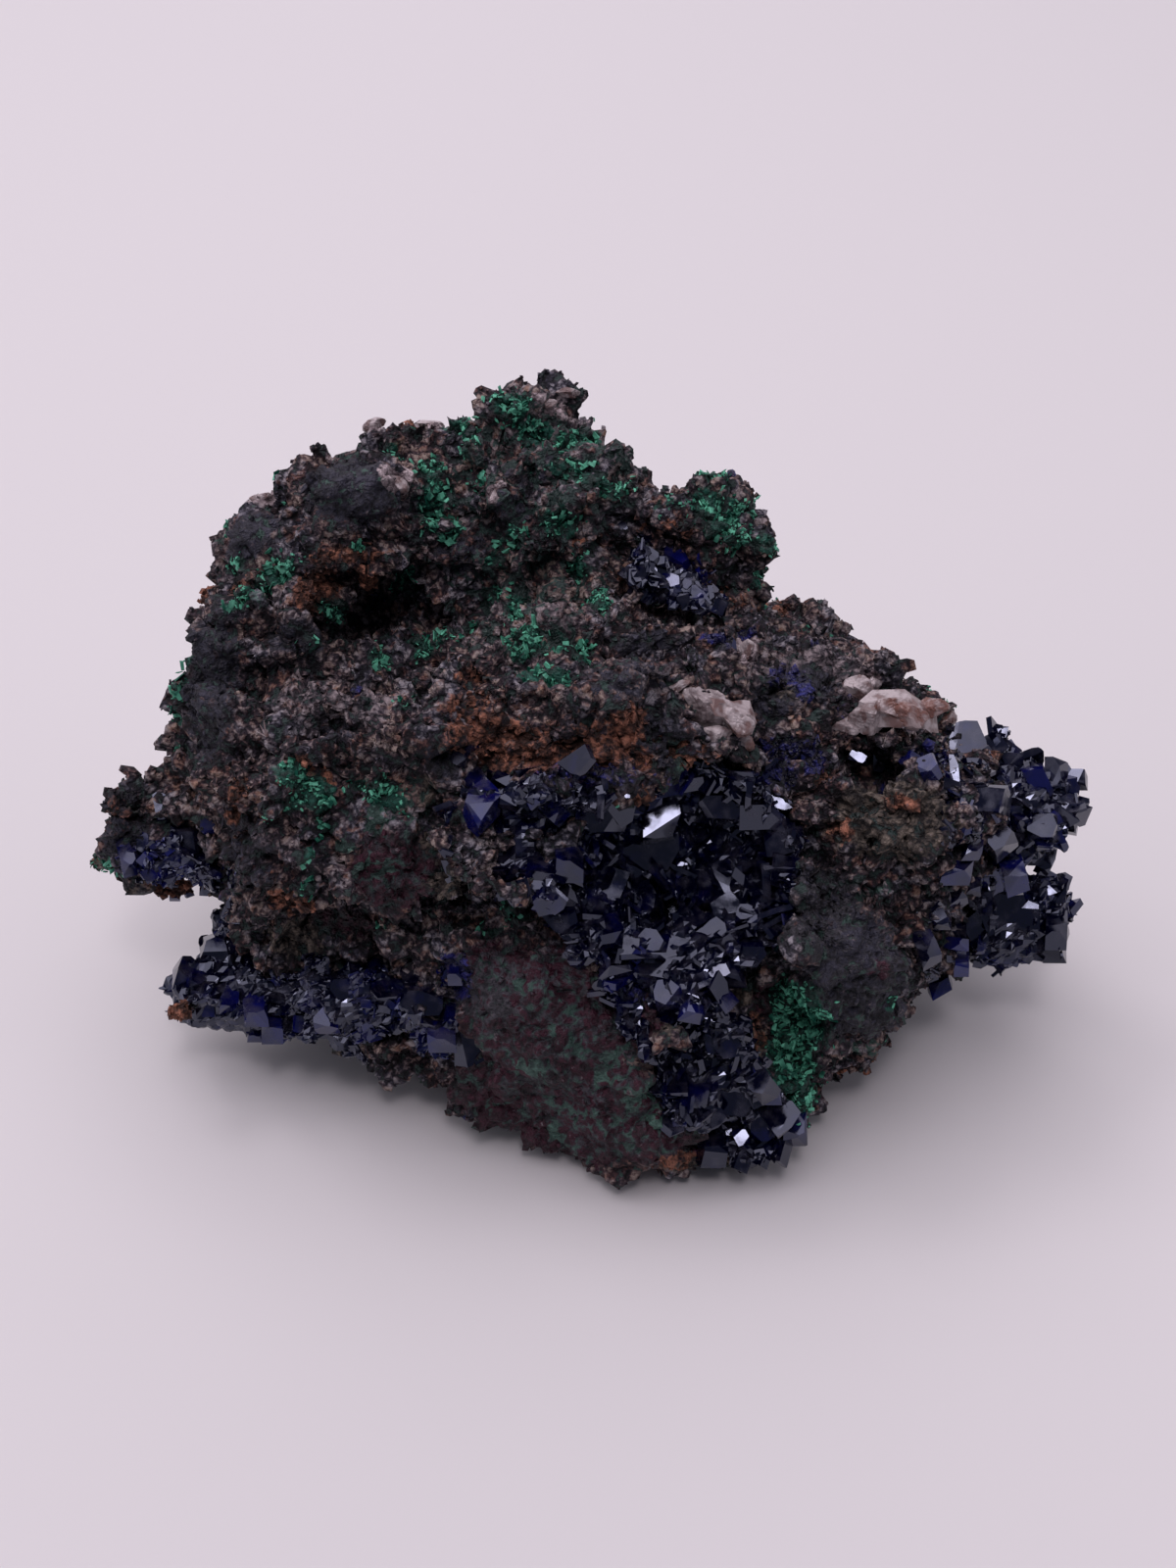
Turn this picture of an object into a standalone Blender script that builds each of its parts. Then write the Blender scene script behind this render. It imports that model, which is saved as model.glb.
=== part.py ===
"""A hand specimen of azurite on limonite matrix, with malachite and quartz, at its real size.

The axes: +X runs along the length, -Y is the display side, and +Z is up. The specimen rests on z = 0,
with the middle of its bounding box over the origin. The tables are in millimetres.

The rock is one union of rounded blocks with the hollows cut out of it. Each crust of azurite is a slab
that lines a hollow, or a knot that stands on the rock, with flat-faced crystals grown on it.
"""

import math
import random

import bmesh
import bpy
from mathutils import Euler, Vector, noise
from mathutils.bvhtree import BVHTree

MM = 0.001
SEAT_GAP = 0.45 * MM  # free space between a crust and the rock that carries it
ROCK_VOXEL = 0.9 * MM
CRUST_VOXEL = 0.8 * MM
SLAB_VOXEL = 1.1 * MM
ROCK_TRIANGLES = 3750
SLAB_TRIANGLES = 360
KNOT_TRIANGLES = 150
FLOOR_BLOCK = 200 * MM  # side of the block that trims the underside flat
FLAT_ANGLE = 2.0  # degrees, below which two faces of a crystal count as one
CRUST_DEPTH = 2.6  # mm, thickness of the slab at the bottom of a hollow
OUTWARD = Vector((0.1, -0.9, 0.35)).normalized()  # out of the display side's hollows
REACH = 80 * MM  # how far outside the rock a search for a place to grow starts

# Blocks of rock: name, centre, radii, turn about Z in degrees, and squareness (2 is an ellipsoid).
ROCK_BLOCKS = (
    ("core", (-1, -1, 21), (30, 20, 20), 0, 2.2),
    ("front_bulge", (-2, -15, 13), (15, 13, 14), 0, 2.2),
    ("front_foot", (8, -19, 5.5), (14.5, 11.5, 9), 0, 2.3),
    ("left_foot", (-14, -14, 8), (9, 8, 7), 20, 2.2),
    ("left_waist", (-25, -8, 17), (8, 9, 8), 0, 2.2),
    ("right_foot", (18.5, -14, 13), (10.5, 11, 13), 0, 2.4),
    ("right_under", (29.5, -10, 11), (6, 6, 6), 0, 2.2),
    ("right_brow", (25.5, -8, 24), (11, 10, 10), 0, 2.2),
    ("right_ridge", (24, 2.5, 17), (14, 11, 10), 0, 2.3),
    ("right_crest", (25, 1, 27.6), (8, 6, 6.6), 0, 2.2),
    ("crown", (-5.5, 14, 40.6), (9, 11, 12), 0, 2.3),
    ("crown_right", (-1.6, 15, 36.3), (9, 9, 13), 0, 2.2),
    ("crown_left", (-14, 13, 39.8), (9, 9, 10), 0, 2.4),
    ("left_dome", (-21, 9, 40), (10, 10, 10), 0, 2.3),
    ("left_shoulder", (-26.5, 4, 32.5), (9.7, 12.5, 13), 0, 2.3),
    ("left_flank", (-28, -2, 26), (10, 12, 14), 0, 2.2),
    ("left_brow", (-21, -9, 28), (13, 11, 12), 0, 2.3),
    ("left_knob", (-14, -12, 35), (6, 6, 6), 0, 2.2),
    ("claw_root", (-34, -4, 24), (6, 5, 5), 0, 2.2),
    ("claw", (-39.5, -6, 21), (5, 5, 6), 0, 2.2),
    ("middle_step", (2, -6, 34), (14, 12, 9), 0, 2.4),
    ("right_knob", (11.3, 13, 38.5), (6.2, 6.5, 7.5), 0, 2.2),
    ("back_left", (-14, 16, 17), (20, 13, 18), 0, 2.3),
    ("back_right", (12, 16, 15), (18, 13, 16), 0, 2.3),
)

# Hollows of the display side that azurite lines, and open ones, in the same form.
VUG_HOLLOWS = (
    ("vug", (8, -23, 29), (11.5, 8, 9), 0, 2.2),
    ("vug_back", (8, -17, 28.5), (10, 7, 7), 0, 2.2),
    ("vug_left", (-5, -22, 33.5), (8, 6.5, 4.5), 0, 2.2),
    ("trough_top", (5, -27, 22), (5, 5.5, 6), 0, 2.2),
    ("trough_middle", (10, -29, 14), (5, 5.5, 6), 0, 2.2),
    ("trough_foot", (14, -28.5, 7), (4.5, 4.5, 4.5), 0, 2.2),
)
OPEN_HOLLOWS = (
    ("left_cave", (-17, -3, 40), (7, 5, 4), 0, 2.2),
    ("brow_cave", (24, -15, 34), (4, 4, 2.5), 0, 2.2),
    ("claw_hollow", (-35, -11, 19), (4, 4, 4), 0, 2.2),
)

# Knots of azurite that stand on the rock, in the same form.
KNOTS = {
    "azurite_right_cluster": (
        ("upper", (37.4, -4, 23), (5.8, 6, 4.8), 0, 2.2),
        ("lower", (38.2, -8, 12.6), (6.3, 5, 4.4), 0, 2.2),
        ("root", (33, -5, 17), (5, 7, 8), 0, 2.2),
    ),
    "azurite_left_arm": (
        ("end", (-34.2, -13.5, 8.8), (3.8, 4, 3.8), 0, 2.2),
        ("middle", (-28, -14.5, 9.5), (6, 4.5, 4.5), 0, 2.2),
        ("root", (-19, -18, 11.5), (8, 4.5, 4.5), 0, 2.2),
        ("inner", (-12, -21.5, 13.5), (5, 3.5, 4), 0, 2.2),
        ("spur", (-32.5, -9, 12.5), (2.5, 2.5, 3), 0, 2.2),
    ),
    "azurite_claw_lining": (
        ("lining", (-34.5, -8, 21.5), (4, 4, 3.5), 0, 2.2),
    ),
    "azurite_top_pocket": (
        ("upper", (5.5, 4, 42), (3, 3, 3), 0, 2.2),
        ("lower", (9, 2, 40), (3, 3, 3), 0, 2.2),
    ),
}

# Crystals grown on each crust: how many, shortest and longest length in mm, and the seed of their layout.
CRYSTALS = {
    "azurite_vug_crust": (36, 3.2, 5.4, 3),
    "azurite_right_cluster": (18, 3.6, 6.0, 5),
    "azurite_left_arm": (20, 3.2, 5.4, 7),
    "azurite_claw_lining": (5, 3.0, 4.5, 11),
    "azurite_top_pocket": (5, 3.0, 4.5, 13),
}

# Colour as sRGB hex, roughness, and metallic of each kind of mineral.
MINERALS = {
    "matrix": ("#4e4441", 0.85, 0.0),
    "azurite": ("#1d2450", 0.15, 0.0),
    "quartz": ("#cdbfc0", 0.25, 0.0),
}

# Chunks of quartz: centre, radii in mm, and seed.
QUARTZ = {
    "quartz_middle": ((11, -11, 37), (3.2, 2.6, 3.6), 2),
    "quartz_right": ((26, -6, 33.5), (5.0, 3.0, 2.8), 4),
}


def collection(name):
    made = bpy.data.collections.new(name)
    bpy.context.scene.collection.children.link(made)
    return made


def linear(hex_colour):
    """The linear RGB of an sRGB colour written as #rrggbb."""
    channels = [int(hex_colour[i : i + 2], 16) / 255 for i in (1, 3, 5)]
    return [c / 12.92 if c <= 0.04045 else ((c + 0.055) / 1.055) ** 2.4 for c in channels]


def paint(obj):
    """Gives the node its own material, by the mineral that its name starts with."""
    colour, roughness, metallic = MINERALS[obj.name.split("_")[0]]
    material = bpy.data.materials.new(obj.name)
    material.use_nodes = True
    shader = material.node_tree.nodes["Principled BSDF"]
    shader.inputs["Base Color"].default_value = (*linear(colour), 1)
    shader.inputs["Roughness"].default_value = roughness
    shader.inputs["Metallic"].default_value = metallic
    obj.data.materials.clear()
    obj.data.materials.append(material)


def centre_over_origin(objects):
    """Moves the whole specimen sideways until the middle of its bounding box is over the origin."""
    points = [vert.co for obj in objects for vert in obj.data.vertices]
    middle = [(min(p[i] for p in points) + max(p[i] for p in points)) / 2 for i in range(2)]
    for obj in objects:
        for vert in obj.data.vertices:
            vert.co -= Vector((middle[0], middle[1], 0))


def add_object(name, mesh, into):
    obj = bpy.data.objects.new(name, mesh)
    into.objects.link(obj)
    return obj


def add_block(bm, centre, radii, turn, squareness, detail=4):
    """Adds one rounded block: a sphere for squareness 2, and closer to a box above it."""
    made = bmesh.ops.create_icosphere(bm, subdivisions=detail, radius=1.0)
    for vert in made["verts"]:
        power = sum(abs(x) ** squareness for x in vert.co)
        vert.co /= power ** (1 / squareness)
    bmesh.ops.scale(bm, vec=Vector(radii) * MM, verts=made["verts"])
    bmesh.ops.rotate(bm, matrix=Euler((0, 0, math.radians(turn))).to_matrix(), verts=made["verts"])
    bmesh.ops.translate(bm, vec=Vector(centre) * MM, verts=made["verts"])


def evaluated_mesh(obj, name):
    """The object's mesh with its modifiers applied."""
    graph = bpy.context.evaluated_depsgraph_get()
    return bpy.data.meshes.new_from_object(obj.evaluated_get(graph))


def bake(obj):
    mesh = evaluated_mesh(obj, obj.name)
    obj.modifiers.clear()
    old = obj.data
    obj.data = mesh
    bpy.data.meshes.remove(old)


def union_of_blocks(name, blocks, voxel, into):
    """One closed solid in the outer shape of all the blocks."""
    bm = bmesh.new()
    for _, centre, radii, turn, squareness in blocks:
        add_block(bm, centre, radii, turn, squareness)
    mesh = bpy.data.meshes.new(name)
    bm.to_mesh(mesh)
    bm.free()
    obj = add_object(name, mesh, into)
    remesh(obj, voxel)
    return obj


def remesh(obj, voxel):
    modifier = obj.modifiers.new("voxels", "REMESH")
    modifier.mode = "VOXEL"
    modifier.voxel_size = voxel
    bake(obj)


def lumpiness(point, cell):
    """1 on top of a rounded lump of that size, and 0 in the crease between two."""
    nearest, second = noise.voronoi(point / (cell * MM))[0][:2]
    return min(1.0, 1.6 * (second - nearest))


def roughen(obj, swell, cobble, grit):
    """Moves each point along its normal by broad swells, cobbles and grit, each (depth, size) in mm."""
    mesh = obj.data
    normals = [v.normal.copy() for v in mesh.vertices]
    for vert, normal in zip(mesh.vertices, normals):
        p = vert.co.copy()
        move = swell[0] * noise.noise(p / (swell[1] * MM))
        move += cobble[0] * (lumpiness(p, cobble[1]) - 0.6)
        move += grit[0] * noise.noise(p / (grit[1] * MM))
        vert.co = p + normal * move * MM
    mesh.update()


def cut(obj, tool, operation="DIFFERENCE", solver="EXACT"):
    boolean = obj.modifiers.new("cut", "BOOLEAN")
    boolean.operation = operation
    boolean.solver = solver
    boolean.object = tool
    bake(obj)


def decimate(obj, triangles):
    mesh = obj.data
    mesh.calc_loop_triangles()
    share = triangles / len(mesh.loop_triangles)
    if share < 1:
        modifier = obj.modifiers.new("decimate", "DECIMATE")
        modifier.ratio = share
        modifier.use_collapse_triangulate = True
        bake(obj)


def dissolve_flats(obj):
    """Takes out the points that a flat face doesn't need."""
    flat = obj.modifiers.new("flats", "DECIMATE")
    flat.decimate_type = "DISSOLVE"
    flat.angle_limit = math.radians(FLAT_ANGLE)
    bake(obj)


def keep_largest_island(obj):
    bm = bmesh.new()
    bm.from_mesh(obj.data)
    seen, islands = set(), []
    for start in bm.verts:
        if start in seen:
            continue
        island, todo = [], [start]
        seen.add(start)
        while todo:
            vert = todo.pop()
            island.append(vert)
            for edge in vert.link_edges:
                other = edge.other_vert(vert)
                if other not in seen:
                    seen.add(other)
                    todo.append(other)
        islands.append(island)
    islands.sort(key=len)
    for island in islands[:-1]:
        bmesh.ops.delete(bm, geom=island, context="VERTS")
    bm.to_mesh(obj.data)
    bm.free()


def floor_block(into):
    mesh = bpy.data.meshes.new("floor_block")
    bm = bmesh.new()
    bmesh.ops.create_cube(bm, size=FLOOR_BLOCK)
    bmesh.ops.translate(bm, vec=(0, 0, -FLOOR_BLOCK / 2), verts=bm.verts)
    bm.to_mesh(mesh)
    bm.free()
    return add_object("floor_block", mesh, into)


def cut_crystal(bm, cut_point, cut_normal):
    """Cleaves the crystal at a plane and closes the new face."""
    geometry = bm.verts[:] + bm.edges[:] + bm.faces[:]
    bmesh.ops.bisect_plane(
        bm, geom=geometry, plane_co=cut_point, plane_no=cut_normal, clear_outer=True
    )
    rim = [edge for edge in bm.edges if edge.is_boundary]
    bmesh.ops.holes_fill(bm, edges=rim, sides=0)


def crystal_mesh(name, length, rng):
    """A tabular crystal along +Z: a slab with a wedge for its tip."""
    width = length * rng.uniform(0.55, 0.85)
    thickness = length * rng.uniform(0.32, 0.5)
    bm = bmesh.new()
    bmesh.ops.create_cube(bm, size=1.0)
    bmesh.ops.scale(bm, vec=(width, thickness, length), verts=bm.verts)
    tip = Vector((width * rng.uniform(-0.25, 0.25), 0, length * 0.5))
    slope = math.radians(rng.uniform(38, 58))
    cut_crystal(bm, tip, Vector((math.sin(slope), 0.15, math.cos(slope))))
    cut_crystal(bm, tip, Vector((-math.sin(slope), 0.15, math.cos(slope))))
    mesh = bpy.data.meshes.new(name)
    bm.to_mesh(mesh)
    bm.free()
    return mesh


def surface_of(obj):
    bm = bmesh.new()
    bm.from_mesh(obj.data)
    tree = BVHTree.FromBMesh(bm)
    bm.free()
    return tree


def open_place(base, rock, target, direction):
    """Where a ray that comes in along a direction meets the base before the rock, and the normal there."""
    start = target - direction * REACH
    place, normal, _, distance = base.ray_cast(start, direction)
    if place is None:
        return None
    in_the_way = rock.ray_cast(start, direction)[0]
    if in_the_way is not None and (in_the_way - start).length < distance:
        return None
    return place, normal


def grow_crystals(base_obj, rock, outward, into):
    """Joins crystals to the free side of a crust, one solid in all."""
    count, shortest, longest, seed = CRYSTALS[base_obj.name]
    rng = random.Random(seed)
    rock_tree = surface_of(rock)
    base_tree = surface_of(base_obj)
    corners = [Vector(c) for c in base_obj.bound_box]
    low, high = corners[0], corners[6]
    crystals = bpy.data.collections.new(base_obj.name + "_crystals")
    into.children.link(crystals)
    placed = []
    for _ in range(count * 40):
        if len(placed) == count:
            break
        target = Vector([rng.uniform(a, b) for a, b in zip(low, high)])
        spread = Vector([rng.gauss(0, 1) for _ in range(3)]).normalized()
        direction = -(outward + spread * 0.5).normalized() if outward else -spread
        found = open_place(base_tree, rock_tree, target, direction)
        if not found:
            continue
        place, normal = found
        length = rng.uniform(shortest, longest) * MM * min(1, 0.5 + place.z / (40 * MM))
        if any((place - other).length < 0.2 * (length + size) for other, size in placed):
            continue
        placed.append((place, length))
        lean = Vector([rng.gauss(0, 1) for _ in range(3)]).normalized()
        axis = (normal + lean * 0.55 - direction * 0.3).normalized()
        obj = add_object("crystal", crystal_mesh("crystal", length, rng), crystals)
        turn = Euler((0, 0, rng.uniform(0, math.tau))).to_quaternion()
        obj.rotation_mode = "QUATERNION"
        obj.rotation_quaternion = axis.to_track_quat("Z", "Y") @ turn
        obj.location = place - axis * length * 0.12
    bpy.context.view_layer.update()
    boolean = base_obj.modifiers.new("crystals", "BOOLEAN")
    boolean.operation = "UNION"
    boolean.solver = "EXACT"
    boolean.operand_type = "COLLECTION"
    boolean.collection = crystals
    bake(base_obj)
    for obj in crystals.objects:
        obj.hide_render = True


def grown_rock(rock, into):
    """The rock swollen by the seat gap, which keeps a crust clear of it."""
    obj = add_object("rock_and_gap", rock.data.copy(), into)
    swell = obj.modifiers.new("gap", "DISPLACE")
    swell.strength = SEAT_GAP
    swell.mid_level = 0
    bake(obj)
    return obj


def vug_crust(hollow_obj, into, tools):
    """The slab of azurite that lines the vug: the hollow's shape less the same shape moved outward."""
    slab = add_object("azurite_vug_crust", hollow_obj.data.copy(), into)
    opening = add_object("vug_opening", hollow_obj.data.copy(), tools)
    for vert in opening.data.vertices:
        vert.co += OUTWARD * CRUST_DEPTH * MM
    cut(slab, opening)
    remesh(slab, SLAB_VOXEL)
    keep_largest_island(slab)
    decimate(slab, SLAB_TRIANGLES)
    return slab


def quartz_chunk(name, centre, radii, seed, into):
    """A broken chunk: the hull of points thrown on an ellipsoid."""
    rng = random.Random(seed)
    bm = bmesh.new()
    for _ in range(26):
        point = Vector([rng.gauss(0, 1) for _ in range(3)]).normalized() * rng.uniform(0.8, 1.05)
        bm.verts.new([(c + r * p) * MM for c, r, p in zip(centre, radii, point)])
    made = bmesh.ops.convex_hull(bm, input=bm.verts)
    inside = [g for g in made["geom_interior"] if isinstance(g, bmesh.types.BMVert)]
    bmesh.ops.delete(bm, geom=inside, context="VERTS")
    mesh = bpy.data.meshes.new(name)
    bm.to_mesh(mesh)
    bm.free()
    return add_object(name, mesh, into)


def main():
    for obj in list(bpy.data.objects):
        bpy.data.objects.remove(obj)
    specimen = collection("azurite_specimen")
    tools = collection("tools")
    rock = union_of_blocks("matrix", ROCK_BLOCKS, ROCK_VOXEL, specimen)
    roughen(rock, (1.7, 11), (1.9, 6), (0.9, 3.0))
    vug = union_of_blocks("vug_hollow", VUG_HOLLOWS, CRUST_VOXEL, tools)
    open_hollows = union_of_blocks("open_hollows", OPEN_HOLLOWS, CRUST_VOXEL, tools)
    floor = floor_block(tools)
    for hollow in (vug, open_hollows):
        roughen(hollow, (1.0, 8), (0.8, 4), (0.4, 2.2))
        cut(rock, hollow)
    remesh(rock, ROCK_VOXEL)
    keep_largest_island(rock)
    decimate(rock, ROCK_TRIANGLES)
    cut(rock, floor)
    keep_largest_island(rock)
    spacer = grown_rock(rock, tools)
    crusts = [(vug_crust(vug, specimen, tools), OUTWARD)]
    for name, blocks in KNOTS.items():
        knot = union_of_blocks(name, blocks, CRUST_VOXEL, specimen)
        roughen(knot, (1.0, 8), (0.8, 4), (0.4, 2.2))
        decimate(knot, KNOT_TRIANGLES)
        crusts.append((knot, None))
    for crust, outward in crusts:
        grow_crystals(crust, rock, outward, tools)
        cut(crust, spacer)
        cut(crust, floor)
        keep_largest_island(crust)
        dissolve_flats(crust)
    for name, (centre, radii, seed) in QUARTZ.items():
        cut(quartz_chunk(name, centre, radii, seed, specimen), spacer)
    centre_over_origin(specimen.objects)
    for tool in tools.objects:
        tool.hide_render = True
        tool.display_type = "WIRE"
    for obj in specimen.objects:
        paint(obj)


main()
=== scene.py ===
"""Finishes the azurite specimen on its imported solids: rock, crumbs, malachite, crystals and quartz.

The tables are in millimetres. A place on the display side is given as (u, v), in pixels of a 1200 x 1600
frame seen through the camera below, and is found by a ray that stops on the piece that carries it.
"""

import math

import bmesh
import bpy
import numpy as np
from mathutils import Matrix, Vector, noise
from mathutils.bvhtree import BVHTree


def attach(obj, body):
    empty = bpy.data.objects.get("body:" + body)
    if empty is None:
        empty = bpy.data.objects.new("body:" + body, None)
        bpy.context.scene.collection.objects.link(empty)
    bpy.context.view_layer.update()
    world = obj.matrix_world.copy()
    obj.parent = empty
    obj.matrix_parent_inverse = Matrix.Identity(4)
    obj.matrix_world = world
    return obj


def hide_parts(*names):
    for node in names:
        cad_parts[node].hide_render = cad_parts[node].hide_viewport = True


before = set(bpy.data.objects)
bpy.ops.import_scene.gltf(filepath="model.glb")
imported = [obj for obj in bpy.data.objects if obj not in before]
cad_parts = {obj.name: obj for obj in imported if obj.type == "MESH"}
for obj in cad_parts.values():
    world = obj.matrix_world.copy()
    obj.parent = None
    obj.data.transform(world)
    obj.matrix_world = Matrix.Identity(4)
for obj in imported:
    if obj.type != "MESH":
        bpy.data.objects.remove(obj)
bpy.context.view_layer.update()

bl_info = {
    "name": "Azurite Specimen",
    "version": (1, 0, 0),
    "blender": (4, 5, 0),
    "location": "3D View > Sidebar > Specimen",
    "description": "Grows the rock, crusts and crystals of a mineral specimen on its plain solids",
    "category": "Object",
}

MM = 0.001

# The camera: its frame in pixels, its lens in mm on a 36 mm sensor, and where it stands.
FRAME_WIDTH = 1200
FRAME_HEIGHT = 1600
LENS = 50.0
SENSOR = 36.0
CAMERA_HEIGHT_ANGLE = math.radians(38)
CAMERA_DISTANCE = 0.200
CAMERA_TARGET = Vector((-0.00033, 0.00097, 0.022))
BACK = Vector((0, -math.cos(CAMERA_HEIGHT_ANGLE), math.sin(CAMERA_HEIGHT_ANGLE)))
RIGHT = Vector((1, 0, 0))
UP = BACK.cross(RIGHT)
CAMERA_PLACE = CAMERA_TARGET + BACK * CAMERA_DISTANCE
FOCAL_PIXELS = LENS / SENSOR * FRAME_HEIGHT

# The lamp that makes the white glints, as a direction from the specimen.
LAMP_DIRECTION = Vector((0.05, -0.50, 0.85)).normalized()
LAMP_DISTANCE = 0.70
# The window whose pale light some crystal faces mirror.
WINDOW_DIRECTION = Vector((-0.40, 0.35, 0.85)).normalized()


def placed(rows):
    """The rows of a table, each with its first two pairs of numbers taken together."""
    return [((u, v), (wide, high), *rest) for u, v, wide, high, *rest in rows]


def placed_by_kind(table):
    """The rows of a table that is sorted by kind, each with its kind first."""
    return [(kind, *row) for kind, rows in table.items() for row in placed(rows)]


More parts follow.
